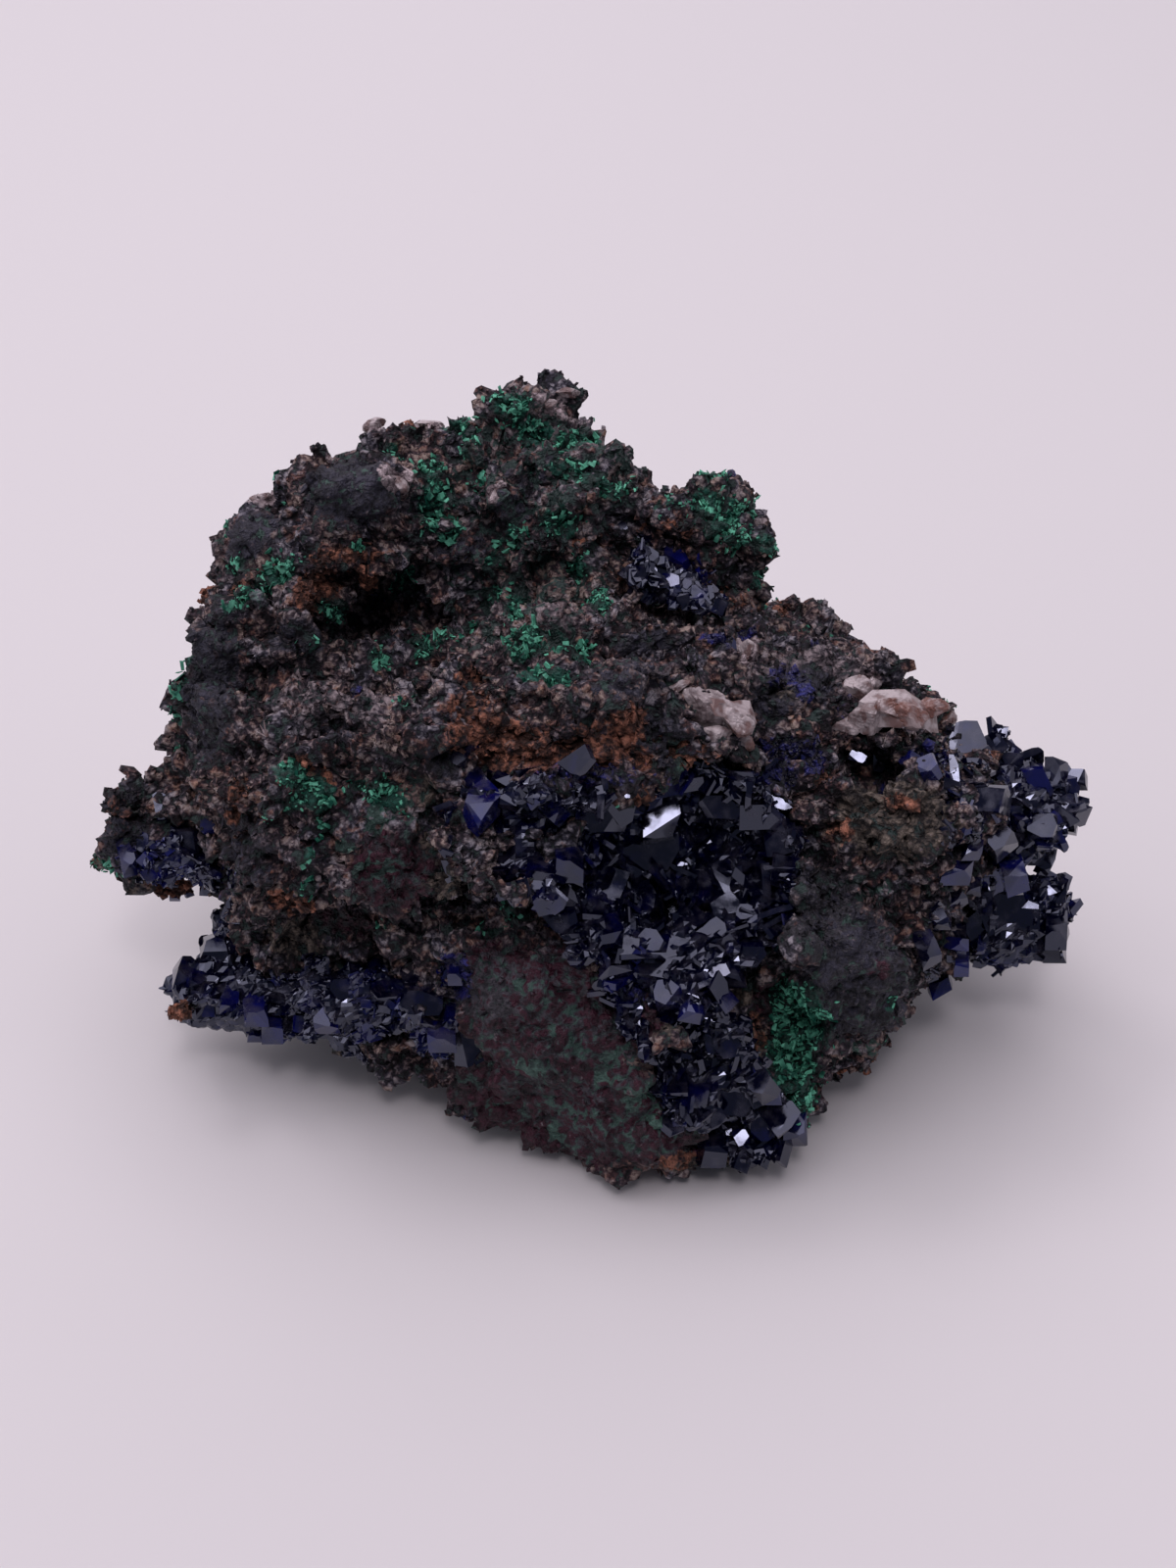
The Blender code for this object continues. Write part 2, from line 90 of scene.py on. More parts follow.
# Patches of mineral on the rock, by kind: u, v, half sizes in pixels, turn in degrees, strength.
PATCHES = placed_by_kind(
    {
        # Malachite: from the crown to the middle, on the right knob, on the front left and at the foot.
        "malachite": (
            (521, 412, 20, 14, 0, 1.2), (545, 445, 20, 14, 0, 0.9), (581, 454, 24, 9, 10, 1.0),
            (575, 479, 20, 9, 0, 0.8), (605, 490, 22, 9, -15, 0.8), (626, 501, 17, 11, 0, 1.0),
            (569, 533, 19, 17, 0, 0.9), (590, 580, 11, 13, 30, 0.9), (612, 612, 13, 14, 0, 0.8),
            (569, 654, 16, 13, 0, 0.9), (592, 664, 13, 10, 0, 0.9), (569, 694, 13, 7, 0, 1.0),
            (545, 690, 16, 10, 0, 0.9), (536, 655, 18, 18, 0, 0.9), (530, 622, 12, 16, 0, 1.0),
            (502, 606, 14, 9, 20, 0.8), (505, 567, 10, 13, 0, 0.8), (526, 548, 13, 12, 0, 0.7),
            (440, 480, 16, 14, 0, 0.8), (442, 515, 15, 34, 0, 0.9), (462, 545, 13, 9, 30, 0.8),
            (469, 438, 18, 7, -20, 0.8), (478, 458, 12, 9, 0, 0.6), (492, 492, 16, 9, 0, 0.5),
            (404, 463, 12, 6, -20, 0.8), (282, 588, 25, 14, 35, 1.0), (245, 613, 19, 9, 25, 1.0),
            (245, 576, 17, 9, 20, 0.8), (346, 625, 20, 13, -30, 1.0), (414, 588, 15, 13, 30, 0.9),
            (362, 556, 5, 6, 60, 0.9), (181, 662, 10, 9, 0, 0.9), (184, 705, 8, 14, 0, 0.9),
            (182, 732, 7, 8, 0, 0.8), (227, 533, 5, 9, 0, 0.8), (388, 671, 12, 10, 0, 1.0),
            (434, 663, 12, 13, 40, 1.0), (452, 648, 14, 6, 30, 0.8), (479, 643, 9, 5, 30, 0.7),
            (411, 718, 9, 5, 0, 0.6), (602, 738, 3, 4, 0, 1.0), (724, 483, 17, 7, -20, 0.9),
            (730, 522, 28, 22, -30, 1.0), (755, 550, 18, 9, 0, 0.9), (783, 554, 9, 13, 20, 0.9),
            (764, 519, 8, 8, 0, 0.8), (678, 511, 11, 7, 0, 0.8), (775, 594, 5, 7, 30, 0.8),
            (824, 642, 5, 3, 0, 0.8), (846, 648, 5, 4, 30, 0.8), (308, 797, 30, 13, -35, 1.0),
            (328, 816, 16, 13, -30, 1.0), (299, 819, 13, 10, 0, 0.7), (332, 838, 7, 11, -20, 0.8),
            (366, 800, 16, 9, 0, 0.6), (394, 812, 26, 13, -35, 0.85), (310, 875, 6, 7, 0, 1.0),
            (311, 902, 5, 11, -20, 0.8), (271, 827, 5, 9, 0, 0.6), (501, 948, 15, 6, 0, 0.6),
            (518, 925, 11, 9, 30, 0.8), (389, 948, 10, 6, 0, 0.5), (209, 776, 6, 4, -40, 0.7),
            (815, 1030, 28, 40, 15, 1.3), (802, 1083, 26, 34, 30, 1.3), (822, 1122, 20, 14, 0, 1.1),
            (909, 1026, 6, 10, 0, 0.8),
        ),
        # Pale streaks of malachite.
        "streak": (
            (388, 838, 20, 16, 0, 0.55), (349, 861, 15, 7, -15, 1.0), (383, 884, 24, 14, 0, 0.5),
            (540, 1091, 16, 8, 0, 0.9), (619, 1098, 12, 6, -25, 0.8), (650, 1119, 20, 10, 10, 0.6),
            (669, 1139, 6, 15, 0, 0.6), (566, 1156, 15, 9, -20, 0.7), (503, 1129, 10, 6, 0, 0.6),
            (639, 1171, 9, 5, 0, 0.6), (566, 1053, 12, 6, -30, 0.45), (878, 1073, 24, 6, 12, 0.7),
            (900, 909, 24, 6, 15, 0.6), (706, 1064, 10, 18, 0, 0.45), (540, 1010, 60, 14, -25, 0.2),
            (600, 1070, 70, 12, -20, 0.2), (600, 1140, 80, 14, -10, 0.22), (430, 820, 20, 30, 0, 0.25),
            (550, 470, 110, 70, 20, 0.3), (540, 610, 80, 80, 0, 0.25),
        ),
        # Paler limonite; the patches on the crown's top also paint a highlight where the light falls on it.
        "pale": (
            (560, 440, 70, 40, 0, 0.45), (540, 620, 60, 60, 0, 0.4), (830, 690, 80, 40, 10, 0.55),
            (600, 765, 90, 26, 5, 0.5), (340, 715, 80, 40, 0, 0.4), (480, 650, 30, 14, 30, 0.4),
            (430, 425, 40, 14, 0, 0.4),
        ),
        # Rust.
        "rust": (
            (590, 768, 72, 28, 5, 0.62), (505, 756, 58, 32, -15, 0.62), (640, 738, 26, 16, 30, 0.8),
            (480, 720, 36, 16, 10, 0.5), (352, 566, 40, 13, 0, 0.6), (378, 596, 20, 12, -60, 0.8),
            (322, 606, 24, 26, -50, 0.8), (245, 598, 22, 8, 0, 0.6), (326, 586, 8, 5, 0, 0.8),
            (690, 540, 22, 8, -20, 0.5), (797, 622, 8, 8, 0, 1.3), (658, 536, 6, 3, 0, 1.1),
            (587, 554, 4, 6, 0, 1.1), (310, 780, 10, 11, 0, 1.0), (330, 792, 6, 11, 0, 1.1),
            (285, 884, 7, 3, 10, 1.3), (308, 922, 15, 8, -45, 1.3), (288, 917, 16, 15, 0, 0.8),
            (245, 800, 14, 16, 0, 0.5), (240, 830, 12, 10, 0, 0.6), (178, 1030, 19, 24, 20, 1.0),
            (480, 690, 20, 10, 0, 0.6), (640, 590, 22, 10, -20, 0.6), (740, 610, 30, 10, -10, 0.5),
            (861, 849, 12, 8, 0, 1.0), (923, 817, 16, 8, 0, 0.9), (1014, 796, 12, 6, 0, 0.9),
            (1022, 752, 8, 12, 0, 0.7), (840, 790, 16, 10, 0, 0.5), (690, 1185, 26, 13, -10, 0.6),
            (872, 1094, 18, 10, 10, 0.8), (770, 1050, 11, 24, 10, 0.6), (120, 830, 16, 20, 0, 0.2),
        ),
        # Black-grey goethite.
        "goethite": (
            (122, 840, 30, 50, 0, 0.6), (250, 870, 44, 60, 0, 0.5), (880, 1000, 60, 80, 20, 0.8),
            (355, 497, 54, 36, 0, 1.0), (255, 545, 36, 24, 30, 0.9), (240, 480, 30, 20, 20, 0.8),
            (520, 520, 26, 26, 0, 0.6), (640, 690, 60, 26, 10, 0.5), (660, 655, 40, 14, 0, 0.8),
            (615, 800, 60, 22, 0, 0.5), (300, 650, 40, 20, 0, 0.6), (830, 700, 26, 26, 0, 0.7),
            (540, 480, 34, 30, 0, 0.5), (690, 770, 26, 26, 0, 0.7), (840, 930, 36, 60, 0, 0.7),
            (665, 745, 28, 30, 0, 0.8), (785, 715, 26, 26, 0, 0.7), (560, 690, 30, 20, 0, 0.5),
            (215, 700, 36, 90, 0, 0.7), (455, 772, 24, 26, 0, 0.7), (475, 560, 40, 24, 0, 0.5),
            (330, 745, 50, 16, 0, 0.4),
        ),
        # Hematite.
        "hematite": (
            (560, 1040, 95, 70, -15, 1.0), (600, 1120, 90, 55, -20, 1.0), (500, 1000, 50, 40, 0, 0.9),
            (560, 1130, 110, 60, -15, 1.0), (650, 1165, 80, 30, -8, 0.9), (400, 892, 46, 44, -10, 0.8),
            (660, 1030, 18, 26, 20, 0.8), (783, 1018, 16, 22, 0, 1.1), (836, 1106, 14, 14, 0, 0.8),
            (350, 940, 40, 14, -10, 0.7), (900, 990, 16, 10, 0, 0.6), (705, 760, 10, 6, 0, 0.6),
            (652, 1018, 18, 24, 20, 1.0),
        ),
        # A grey film over the hematite.
        "film": (
            (560, 1040, 105, 80, -15, 0.4), (600, 1120, 120, 70, -15, 0.4), (500, 1010, 50, 40, 0, 0.7),
            (870, 1000, 60, 80, 20, 0.3), (830, 930, 60, 40, 20, 0.55), (400, 892, 46, 44, -10, 0.35),
            (560, 500, 120, 120, 0, 0.3),
        ),
        # Olive-brown jarosite.
        "olive": (
            (910, 835, 62, 44, 0, 0.9), (453, 897, 32, 20, 0, 1.0), (436, 806, 12, 16, 0, 0.8),
            (439, 860, 17, 14, 0, 0.7), (304, 958, 36, 24, -10, 0.7), (672, 1045, 24, 16, 0, 0.7),
            (646, 1084, 26, 14, 0, 0.6), (692, 1188, 26, 12, 0, 0.8), (740, 1194, 18, 8, 0, 0.7),
            (760, 1012, 12, 16, 0, 0.9), (774, 1056, 12, 20, 0, 0.9), (1050, 762, 32, 11, -15, 0.9),
            (344, 1082, 22, 14, 0, 0.8), (800, 700, 24, 20, 0, 0.5), (560, 590, 18, 40, 0, 0.4),
        ),
        # Blue staining by azurite.
        "azurite": (
            (738, 651, 22, 7, 0, 1.0), (763, 648, 14, 10, 0, 0.9), (831, 658, 9, 5, -20, 1.2),
            (821, 703, 13, 12, 0, 1.1), (800, 690, 20, 14, 0, 0.6), (803, 764, 26, 12, 0, 1.0),
            (832, 775, 14, 14, -40, 1.1), (795, 790, 20, 16, 0, 0.7), (860, 722, 10, 20, 0, 0.5),
            (600, 790, 70, 12, 0, 0.5), (700, 800, 46, 16, 0, 0.7), (646, 1002, 14, 20, 15, 1.3),
            (462, 985, 15, 15, 0, 0.8), (470, 1000, 20, 26, 0, 0.5), (130, 880, 20, 16, 30, 0.9),
            (232, 905, 10, 40, -10, 0.7), (975, 745, 16, 12, 0, 1.0), (945, 775, 20, 12, 0, 0.9),
            (900, 806, 8, 10, 0, 0.7), (810, 1150, 14, 12, 0, 0.7), (712, 1100, 22, 30, 0, 0.6),
            (728, 1160, 20, 20, 0, 0.5),
        ),
        # Pale and pinkish bits of quartz in the rock.
        "quartz": (
            (441, 431, 20, 9, 0, 0.9), (380, 429, 16, 8, 10, 1.0), (270, 505, 14, 8, 10, 1.0),
            (560, 415, 24, 12, 0, 0.5), (505, 505, 9, 11, 0, 1.0), (404, 492, 17, 10, -40, 1.1),
            (774, 533, 6, 5, 0, 0.9), (450, 617, 11, 5, 35, 1.1), (600, 420, 16, 10, 0, 0.4),
            (760, 664, 12, 18, -20, 1.2), (885, 702, 11, 20, -10, 1.2),
        ),
    }
)

# Where the rock is tight and worn smooth instead of crumbly, in the same form.
SMOOTH_PATCHES = placed_by_kind(
    {
        "smooth": (
            (355, 497, 60, 42, 0, 0.85), (570, 1050, 120, 95, -15, 0.9), (610, 1140, 140, 80, -12, 0.9),
            (878, 1015, 62, 90, 20, 0.7), (390, 870, 60, 70, 0, 0.5), (245, 540, 40, 46, 20, 0.7),
            (640, 690, 50, 26, 10, 0.4), (215, 700, 30, 80, 0, 0.4), (480, 560, 36, 24, 0, 0.5),
            (560, 690, 30, 20, 0, 0.4),
        ),
    }
)

# Relief stamped on the rock: u, v, half sizes in pixels, turn in degrees, height in mm (below 0 is a pit).
RELIEF = placed(
    (
        (402, 630, 46, 26, -10, -7.0), (356, 642, 32, 14, 0, -3.5), (432, 602, 20, 16, 0, -3.0),
        (350, 602, 22, 14, 0, -2.0), (895, 772, 54, 17, 6, -5.0), (805, 1052, 30, 52, 15, -3.0),
        (775, 1052, 12, 40, 10, 1.0), (357, 498, 56, 38, 0, 2.8), (250, 545, 38, 32, 20, 1.6),
        (912, 838, 60, 42, 0, 1.6), (870, 1010, 58, 70, 20, 1.4), (404, 752, 24, 34, 0, 1.6),
        (450, 900, 34, 16, 0, 1.0), (440, 945, 90, 10, -6, -1.8), (560, 955, 60, 9, 12, -1.4),
        (455, 925, 30, 8, 0, -1.6), (700, 655, 60, 10, 12, -1.2), (560, 720, 80, 10, -12, -1.0),
        (470, 690, 40, 12, 0, 0.9), (668, 535, 34, 16, -30, 1.4), (300, 690, 90, 10, -4, -0.9),
        (300, 735, 80, 9, 0, -0.8), (500, 560, 14, 50, 30, -1.0), (430, 560, 50, 14, 20, -1.0),
        (790, 960, 14, 50, 10, -1.5), (880, 915, 70, 9, 8, -1.0), (885, 1080, 60, 8, 12, -1.2),
        (160, 800, 14, 20, 0, -0.8), (966, 1030, 30, 24, 0, -3.5),
    )
)

# Lumps of rock that stand on it or close over the crusts: u, v, half sizes in pixels, turn in degrees.
LUMPS = placed(
    (
        (478, 888, 40, 26, -10), (452, 852, 14, 22, 0), (546, 856, 30, 22, -20), (500, 850, 26, 20, -20),
        (470, 836, 16, 14, 0), (590, 848, 16, 12, -20), (522, 908, 30, 12, -15), (572, 797, 26, 11, 0),
        (640, 797, 34, 12, 5), (702, 794, 28, 10, 0), (826, 905, 20, 34, 0), (806, 960, 18, 24, 20),
        (652, 1018, 16, 24, 20), (676, 1052, 24, 18, -30), (640, 1090, 30, 26, -20), (648, 606, 14, 12, 0),
        (630, 560, 10, 20, 0), (334, 466, 28, 20, -30), (396, 444, 32, 18, 10), (468, 430, 24, 18, 0),
        (524, 414, 34, 20, 0), (580, 412, 26, 18, 0), (630, 470, 20, 24, -40), (500, 520, 26, 22, 0),
        (535, 560, 22, 26, 0), (610, 640, 26, 18, 0), (650, 690, 44, 22, 10), (710, 500, 18, 16, 0),
        (750, 545, 24, 24, 0), (905, 675, 22, 14, -20), (836, 705, 34, 26, 0), (795, 690, 16, 20, 0),
        (840, 770, 22, 14, 0), (450, 700, 26, 18, 0), (510, 725, 20, 30, 0), (560, 760, 26, 16, 0),
        (205, 640, 16, 26, 0), (190, 700, 12, 24, 0), (228, 560, 16, 20, 30), (120, 820, 20, 18, 0),
        (182, 1030, 20, 18, 0), (345, 1075, 18, 12, 0), (390, 1070, 14, 10, 0),
    )
)

# Where azurite crystals crust the bare rock: u, v, half sizes in pixels, turn in degrees, strength.
CRUSTED = placed_by_kind(
    {
        "crystals": (
            (996, 780, 40, 56, 0, 1.3), (990, 850, 32, 46, 0, 1.2), (964, 930, 24, 40, 20, 1.0),
            (950, 985, 18, 26, 30, 0.9), (474, 790, 34, 14, -55, 0.9), (520, 800, 34, 8, -15, 0.5),
            (462, 990, 26, 20, 0, 0.7), (238, 920, 12, 56, -10, 0.75), (150, 880, 30, 30, 0, 0.8),
            (735, 650, 34, 10, 0, 0.35), (800, 770, 40, 26, 0, 0.35), (700, 804, 60, 8, 0, 0.2),
            (980, 745, 20, 14, 0, 1.0), (470, 1060, 26, 30, 0, 0.8), (735, 1120, 34, 50, 20, 0.6),
            (660, 560, 26, 22, 0, 0.8), (705, 590, 26, 26, 0, 0.8),
        ),
    }
)

# Crystals of azurite whose faces show best: u, v, width and height of the face in pixels, turn in degrees,
# what the face mirrors, and how blue the crystal is, from 0 to 1.
FACETS = placed(
    (
        # The big hollow.
        (673, 831, 38, 40, 10, "lamp", 0.2), (795, 819, 29, 11, -15, "lamp", 0.2),
        (640, 812, 5, 4, 0, "lamp", 0.2), (694, 881, 8, 4, 0, "lamp", 0.2),
        (579, 890, 24, 18, 0, "sky", 0.2), (571, 908, 24, 16, 10, "sky", 0.2),
        (617, 901, 40, 32, -15, "sky", 0.2), (654, 914, 34, 30, 30, "sky", 0.2),
        (716, 898, 32, 40, 5, "sky", 0.2), (744, 890, 27, 38, 20, "sky", 0.2),
        (689, 927, 30, 32, -25, "sky", 0.1), (707, 934, 22, 22, 30, "side", 0.1),
        (694, 960, 38, 24, 15, "sky", 0.2), (728, 950, 27, 21, 30, "sky", 0.2),
        (681, 985, 62, 24, 0, "side", 0.2), (540, 895, 40, 14, -35, "sky", 0.2),
        (480, 790, 28, 22, -50, "sky", 0.3), (492, 812, 24, 30, -45, "side", 0.8),
        (470, 768, 14, 30, -30, "sky", 0.3), (518, 796, 30, 11, -30, "sky", 0.2),
        (520, 815, 19, 11, -10, "sky", 0.2), (560, 823, 21, 17, -40, "sky", 0.2),
        (506, 836, 10, 14, 0, "sky", 0.3), (767, 855, 29, 13, -10, "sky", 0.2),
        (735, 852, 12, 35, -30, "sky", 0.2), (753, 812, 40, 7, -20, "sky", 0.2),
        (789, 838, 16, 16, 0, "side", 0.1), (579, 866, 30, 22, 0, "side", 0.3),
        (660, 866, 60, 40, 0, "dark", 0.0), (692, 897, 14, 20, 0, "dark", 0.9),
        (612, 836, 50, 30, 0, "dark", 0.1), (735, 825, 40, 24, 0, "dark", 0.1),
        (800, 860, 36, 26, 0, "dark", 0.1), (668, 940, 26, 30, 0, "dark", 0.1),
        (760, 975, 40, 22, 0, "dark", 0.0), (760, 930, 16, 14, 0, "sky", 0.2),
        (630, 940, 14, 30, -30, "side", 0.4), (640, 960, 22, 24, -40, "side", 0.6),
        (700, 790, 30, 10, 10, "side", 0.3), (715, 812, 16, 12, 0, "sky", 0.2),
        (600, 925, 28, 22, -20, "sky", 0.2), (620, 945, 30, 26, 10, "side", 0.2),
        (640, 890, 26, 20, 20, "sky", 0.1), (740, 925, 30, 26, 10, "sky", 0.2),
        (735, 985, 36, 20, 5, "side", 0.1), (555, 880, 30, 18, -10, "side", 0.2),
        (700, 905, 20, 20, 0, "sky", 0.2), (665, 960, 26, 22, -10, "sky", 0.2),
        (770, 900, 24, 24, 10, "side", 0.1),
        # The trough below it.
        (652, 974, 11, 16, -40, "sky", 1.0), (646, 1004, 18, 28, 10, "side", 0.8),
        (681, 1011, 26, 24, 10, "sky", 0.5), (712, 1026, 22, 14, -10, "side", 0.5),
        (742, 1063, 26, 30, 10, "sky", 0.3), (755, 1085, 24, 20, 0, "sky", 0.3),
        (773, 1100, 22, 28, 30, "sky", 0.3), (787, 1113, 16, 10, 0, "side", 0.9),
        (708, 1108, 30, 36, 0, "side", 0.4), (738, 1118, 52, 40, 0, "dark", 0.0),
        (728, 1060, 16, 30, 0, "dark", 0.3), (755, 1157, 13, 17, 30, "lamp", 0.2),
        (778, 1176, 42, 8, 12, "sky", 0.2), (780, 1150, 26, 26, 0, "dark", 0.3),
        (811, 1146, 22, 24, 0, "sky", 0.6), (728, 1158, 28, 24, 0, "side", 0.2),
        # The pocket in the rock left of the front foot.
        (483, 1063, 36, 50, 0, "dark", 0.0), (450, 1050, 26, 18, 0, "side", 0.8),
        (464, 1030, 16, 20, 0, "side", 0.4), (462, 987, 14, 12, 0, "side", 0.7),
        # The small pocket under the right quartz.
        (873, 772, 19, 9, -15, "lamp", 0.2), (896, 778, 12, 20, 0, "dark", 0.2),
        (921, 772, 12, 14, 0, "side", 1.0), (945, 778, 18, 16, 20, "side", 0.9),
        (930, 762, 16, 12, 0, "dark", 0.5),
        # The right cluster, its upper half.
        (990, 750, 30, 32, 10, "sky", 0.2), (973, 757, 8, 22, 0, "pale", 0.2),
        (973, 783, 9, 24, 0, "pale", 0.2), (1001, 815, 46, 28, 5, "sky", 0.1),
        (1024, 778, 36, 18, 0, "sky", 0.2), (1017, 849, 26, 28, 40, "sky", 0.2),
        (1063, 842, 28, 22, 0, "sky", 0.2), (1078, 785, 14, 28, 0, "sky", 0.2),
        (1092, 787, 11, 22, 0, "side", 0.2), (1103, 784, 16, 13, 0, "pale", 0.1),
        (1102, 808, 13, 22, -10, "dark", 0.5), (1084, 824, 16, 12, 0, "sky", 0.2),
        (1088, 843, 24, 12, -10, "sky", 0.2), (1072, 878, 14, 24, -25, "sky", 0.2),
        (1058, 801, 30, 30, 0, "dark", 0.9), (1033, 832, 20, 22, 20, "dark", 0.5),
        (1031, 879, 22, 26, 20, "side", 0.9), (980, 846, 26, 14, 10, "dark", 0.9),
        (978, 879, 28, 16, 0, "side", 0.8), (996, 862, 16, 12, 0, "side", 0.5),
        (1008, 884, 22, 8, 20, "sky", 0.4),
        # Its lower half.
        (994, 900, 14, 14, 0, "sky", 0.3), (969, 914, 28, 14, 35, "sky", 0.3),
        (958, 934, 16, 16, 0, "sky", 0.2), (944, 960, 20, 28, 30, "sky", 0.2),
        (976, 950, 18, 26, 0, "side", 0.3), (968, 962, 20, 12, 0, "side", 0.9),
        (981, 976, 14, 14, 0, "side", 0.9), (1002, 962, 8, 14, 0, "side", 0.8),
        (958, 1000, 24, 10, 30, "side", 0.9), (1024, 930, 44, 34, 20, "dark", 0.0),
        (1000, 945, 32, 26, 40, "dark", 0.1), (1048, 938, 28, 32, -20, "dark", 0.0),
        (1074, 944, 22, 26, -20, "side", 0.0), (1070, 908, 20, 10, 20, "sky", 0.1),
        (1078, 934, 20, 26, 0, "side", 0.0), (1070, 962, 22, 14, 0, "side", 0.0),
        # The arm at the lower left.
        (206, 957, 13, 18, 0, "sky", 0.3), (220, 978, 26, 34, 20, "dark", 0.2),
        (191, 984, 18, 20, 0, "side", 0.4), (204, 996, 14, 14, 0, "side", 0.5),
        (391, 983, 36, 13, 0, "side", 0.3), (394, 1008, 34, 20, 0, "side", 0.3),
        (421, 993, 20, 26, 30, "side", 0.4), (281, 997, 8, 18, 20, "sky", 0.4),
        (252, 975, 30, 20, 0, "dark", 0.3), (260, 1023, 22, 18, 0, "side", 0.9),
        (278, 1037, 20, 20, 0, "side", 0.9), (262, 1052, 14, 10, 0, "side", 0.8),
        (236, 1015, 20, 20, 0, "side", 0.8), (212, 1030, 16, 14, 0, "dark", 0.9),
        (333, 1037, 24, 18, 0, "side", 0.8), (310, 1045, 20, 16, 0, "dark", 0.8),
        (366, 1043, 10, 8, 0, "sky", 0.5), (383, 1029, 24, 8, 0, "sky", 0.4),
        (430, 1025, 40, 26, 0, "dark", 0.1), (350, 1010, 24, 20, 0, "dark", 0.2),
        # The hollow behind the claw.
        (164, 821, 12, 24, 10, "sky", 0.3), (128, 866, 14, 30, 15, "side", 0.7),
        (145, 858, 12, 22, 0, "sky", 0.4), (184, 841, 10, 8, 0, "sky", 0.3),
        (212, 843, 14, 16, 0, "dark", 0.9), (190, 865, 30, 30, 0, "dark", 0.0),
        (145, 897, 8, 6, 0, "lamp", 0.2), (192, 908, 9, 6, 20, "pale", 0.4),
        (178, 914, 10, 7, 0, "sky", 1.0), (208, 914, 14, 12, 0, "dark", 0.7),
        # The pocket near the top.
        (649, 561, 10, 22, 0, "sky", 0.3), (667, 572, 22, 8, 0, "sky", 0.3),
        (690, 563, 30, 16, -25, "side", 1.0), (681, 592, 22, 13, 0, "pale", 0.8),
        (699, 594, 12, 12, 0, "sky", 0.4), (714, 608, 11, 24, 35, "sky", 0.3),
        (696, 613, 14, 12, 0, "dark", 0.2), (635, 536, 8, 12, 20, "sky", 0.2),
        (660, 588, 18, 14, 0, "dark", 0.3),
    )
)

# Where the small crystals turn their faces to the dark, in the same form.
DARK_CRYSTALS = placed_by_kind(
    {
        "dark": (
            (690, 826, 130, 44, 0, 1.0), (800, 860, 40, 40, 0, 1.0), (650, 860, 40, 26, 0, 1.0),
            (760, 980, 60, 34, 0, 1.0), (735, 1130, 50, 60, 20, 1.0), (483, 1063, 34, 50, 0, 1.0),
            (1030, 936, 80, 60, 0, 0.9), (190, 865, 60, 50, 0, 0.9), (290, 1010, 200, 70, 0, 1.0),
            (480, 830, 70, 60, 0, 0.6), (650, 590, 50, 60, 0, 0.5),
        ),
    }
)

# Where the crust is bare of small crystals, in the same form.
BARE_CRUST = placed_by_kind(
    {
        "bare": (
            (500, 852, 60, 34, -10, 1.0), (560, 868, 30, 20, -20, 0.8), (440, 830, 24, 30, 0, 0.8),
            (560, 800, 60, 22, 0, 0.6), (660, 1052, 34, 48, 0, 1.0), (180, 1032, 26, 28, 0, 1.0),
        ),
    }
)

# The CAD nodes of azurite: small crystals grown on each, their shortest and longest length in mm, seed, and
# how rare the blue ones are.
AZURITE_PIECES = {
    "azurite_vug_crust": (1500, (0.6, 3.2), 21, 5.0),
    "azurite_right_cluster": (1100, (0.7, 3.2), 22, 2.6),
    "azurite_left_arm": (2600, (0.3, 1.3), 23, 1.8),
    "azurite_claw_lining": (300, (0.4, 1.4), 24, 2.5),
    "azurite_top_pocket": (60, (0.8, 2.2), 25, 4.0),
}
# The same for the crystals on the bare rock, whose number is a setting.
ON_ROCK_REACH = (0.5, 2.0)
ON_ROCK_SEED = 26
ON_ROCK_RARITY = 3.0

# The grains strewn on the rock: seed, shortest and longest radius in mm, how flat they are, how much they
# are tilted, and how far in radii their middles lie above the surface, at least and at most.
GRAINS = {
    "limonite_crumbs": (31, (0.22, 0.9), 0.85, 0.7, (-0.6, 0.2)),
    "limonite_grit": (32, (0.12, 0.34), 0.9, 1.0, (-0.4, 0.7)),
    "rust_grains": (33, (0.12, 0.42), 0.8, 0.8, (0.1, 1.0)),
    "malachite_tufts": (34, (0.11, 0.4), 0.8, 0.9, (0.0, 1.3)),
}

# What each vertex of the rock is marked with: the minerals, and how smooth it is worn.
MARKS = (
    "pale", "malachite", "rust", "hematite", "film", "streak", "olive", "goethite", "azurite", "quartz",
    "smooth",
)

KNOBS_SEED = 11
BEST_CRYSTALS_SEED = 20
QUARTZ_CHIPS_SEED = 41
QUARTZ_CHUNKS_SEED = 42

# Voxels that round the CAD rock and the CAD crusts before they are roughened.
ROCK_VOXEL = 0.6 * MM
CRUST_VOXEL = 0.5 * MM
# No grain and no small crystal is set lower than this above the floor.
LOWEST_GRAIN = 0.9 * MM
LOWEST_CRYSTAL = 1.2 * MM
# Crystals that grew together lean the same way, in sheaves this wide.
SHEAF_WIDTH = 4 * MM
# A big factor sets the middles of neighbouring cells far apart, so that their random vectors differ.
CELL_FACTOR = 977.0


# ---------------------------------------------------------------------------------------------
# Helpers
# ---------------------------------------------------------------------------------------------


def linear(hex_colour):
    """The linear RGBA of an sRGB colour written as #rrggbb."""
    channels = [int(hex_colour[i : i + 2], 16) / 255 for i in (1, 3, 5)]
    return [c / 12.92 if c <= 0.04045 else ((c + 0.055) / 1.055) ** 2.4 for c in channels] + [1.0]


def smoothstep(low, high, value):
    """0 at or before low, 1 at or after high, and smooth between them."""
    t = np.clip((value - low) / (high - low), 0, 1)
    return t * t * (3 - 2 * t)


def pixel_ray(place):
    """The direction from the camera through a place (u, v) of the frame."""
    across = (place[0] - FRAME_WIDTH / 2) / FOCAL_PIXELS
    down = (place[1] - FRAME_HEIGHT / 2) / FOCAL_PIXELS
    return (RIGHT * across - UP * down - BACK).normalized()


def pixel_size(point):
    """The width of one pixel of the frame at a point, in metres."""
    return (CAMERA_PLACE - point).dot(BACK) / FOCAL_PIXELS


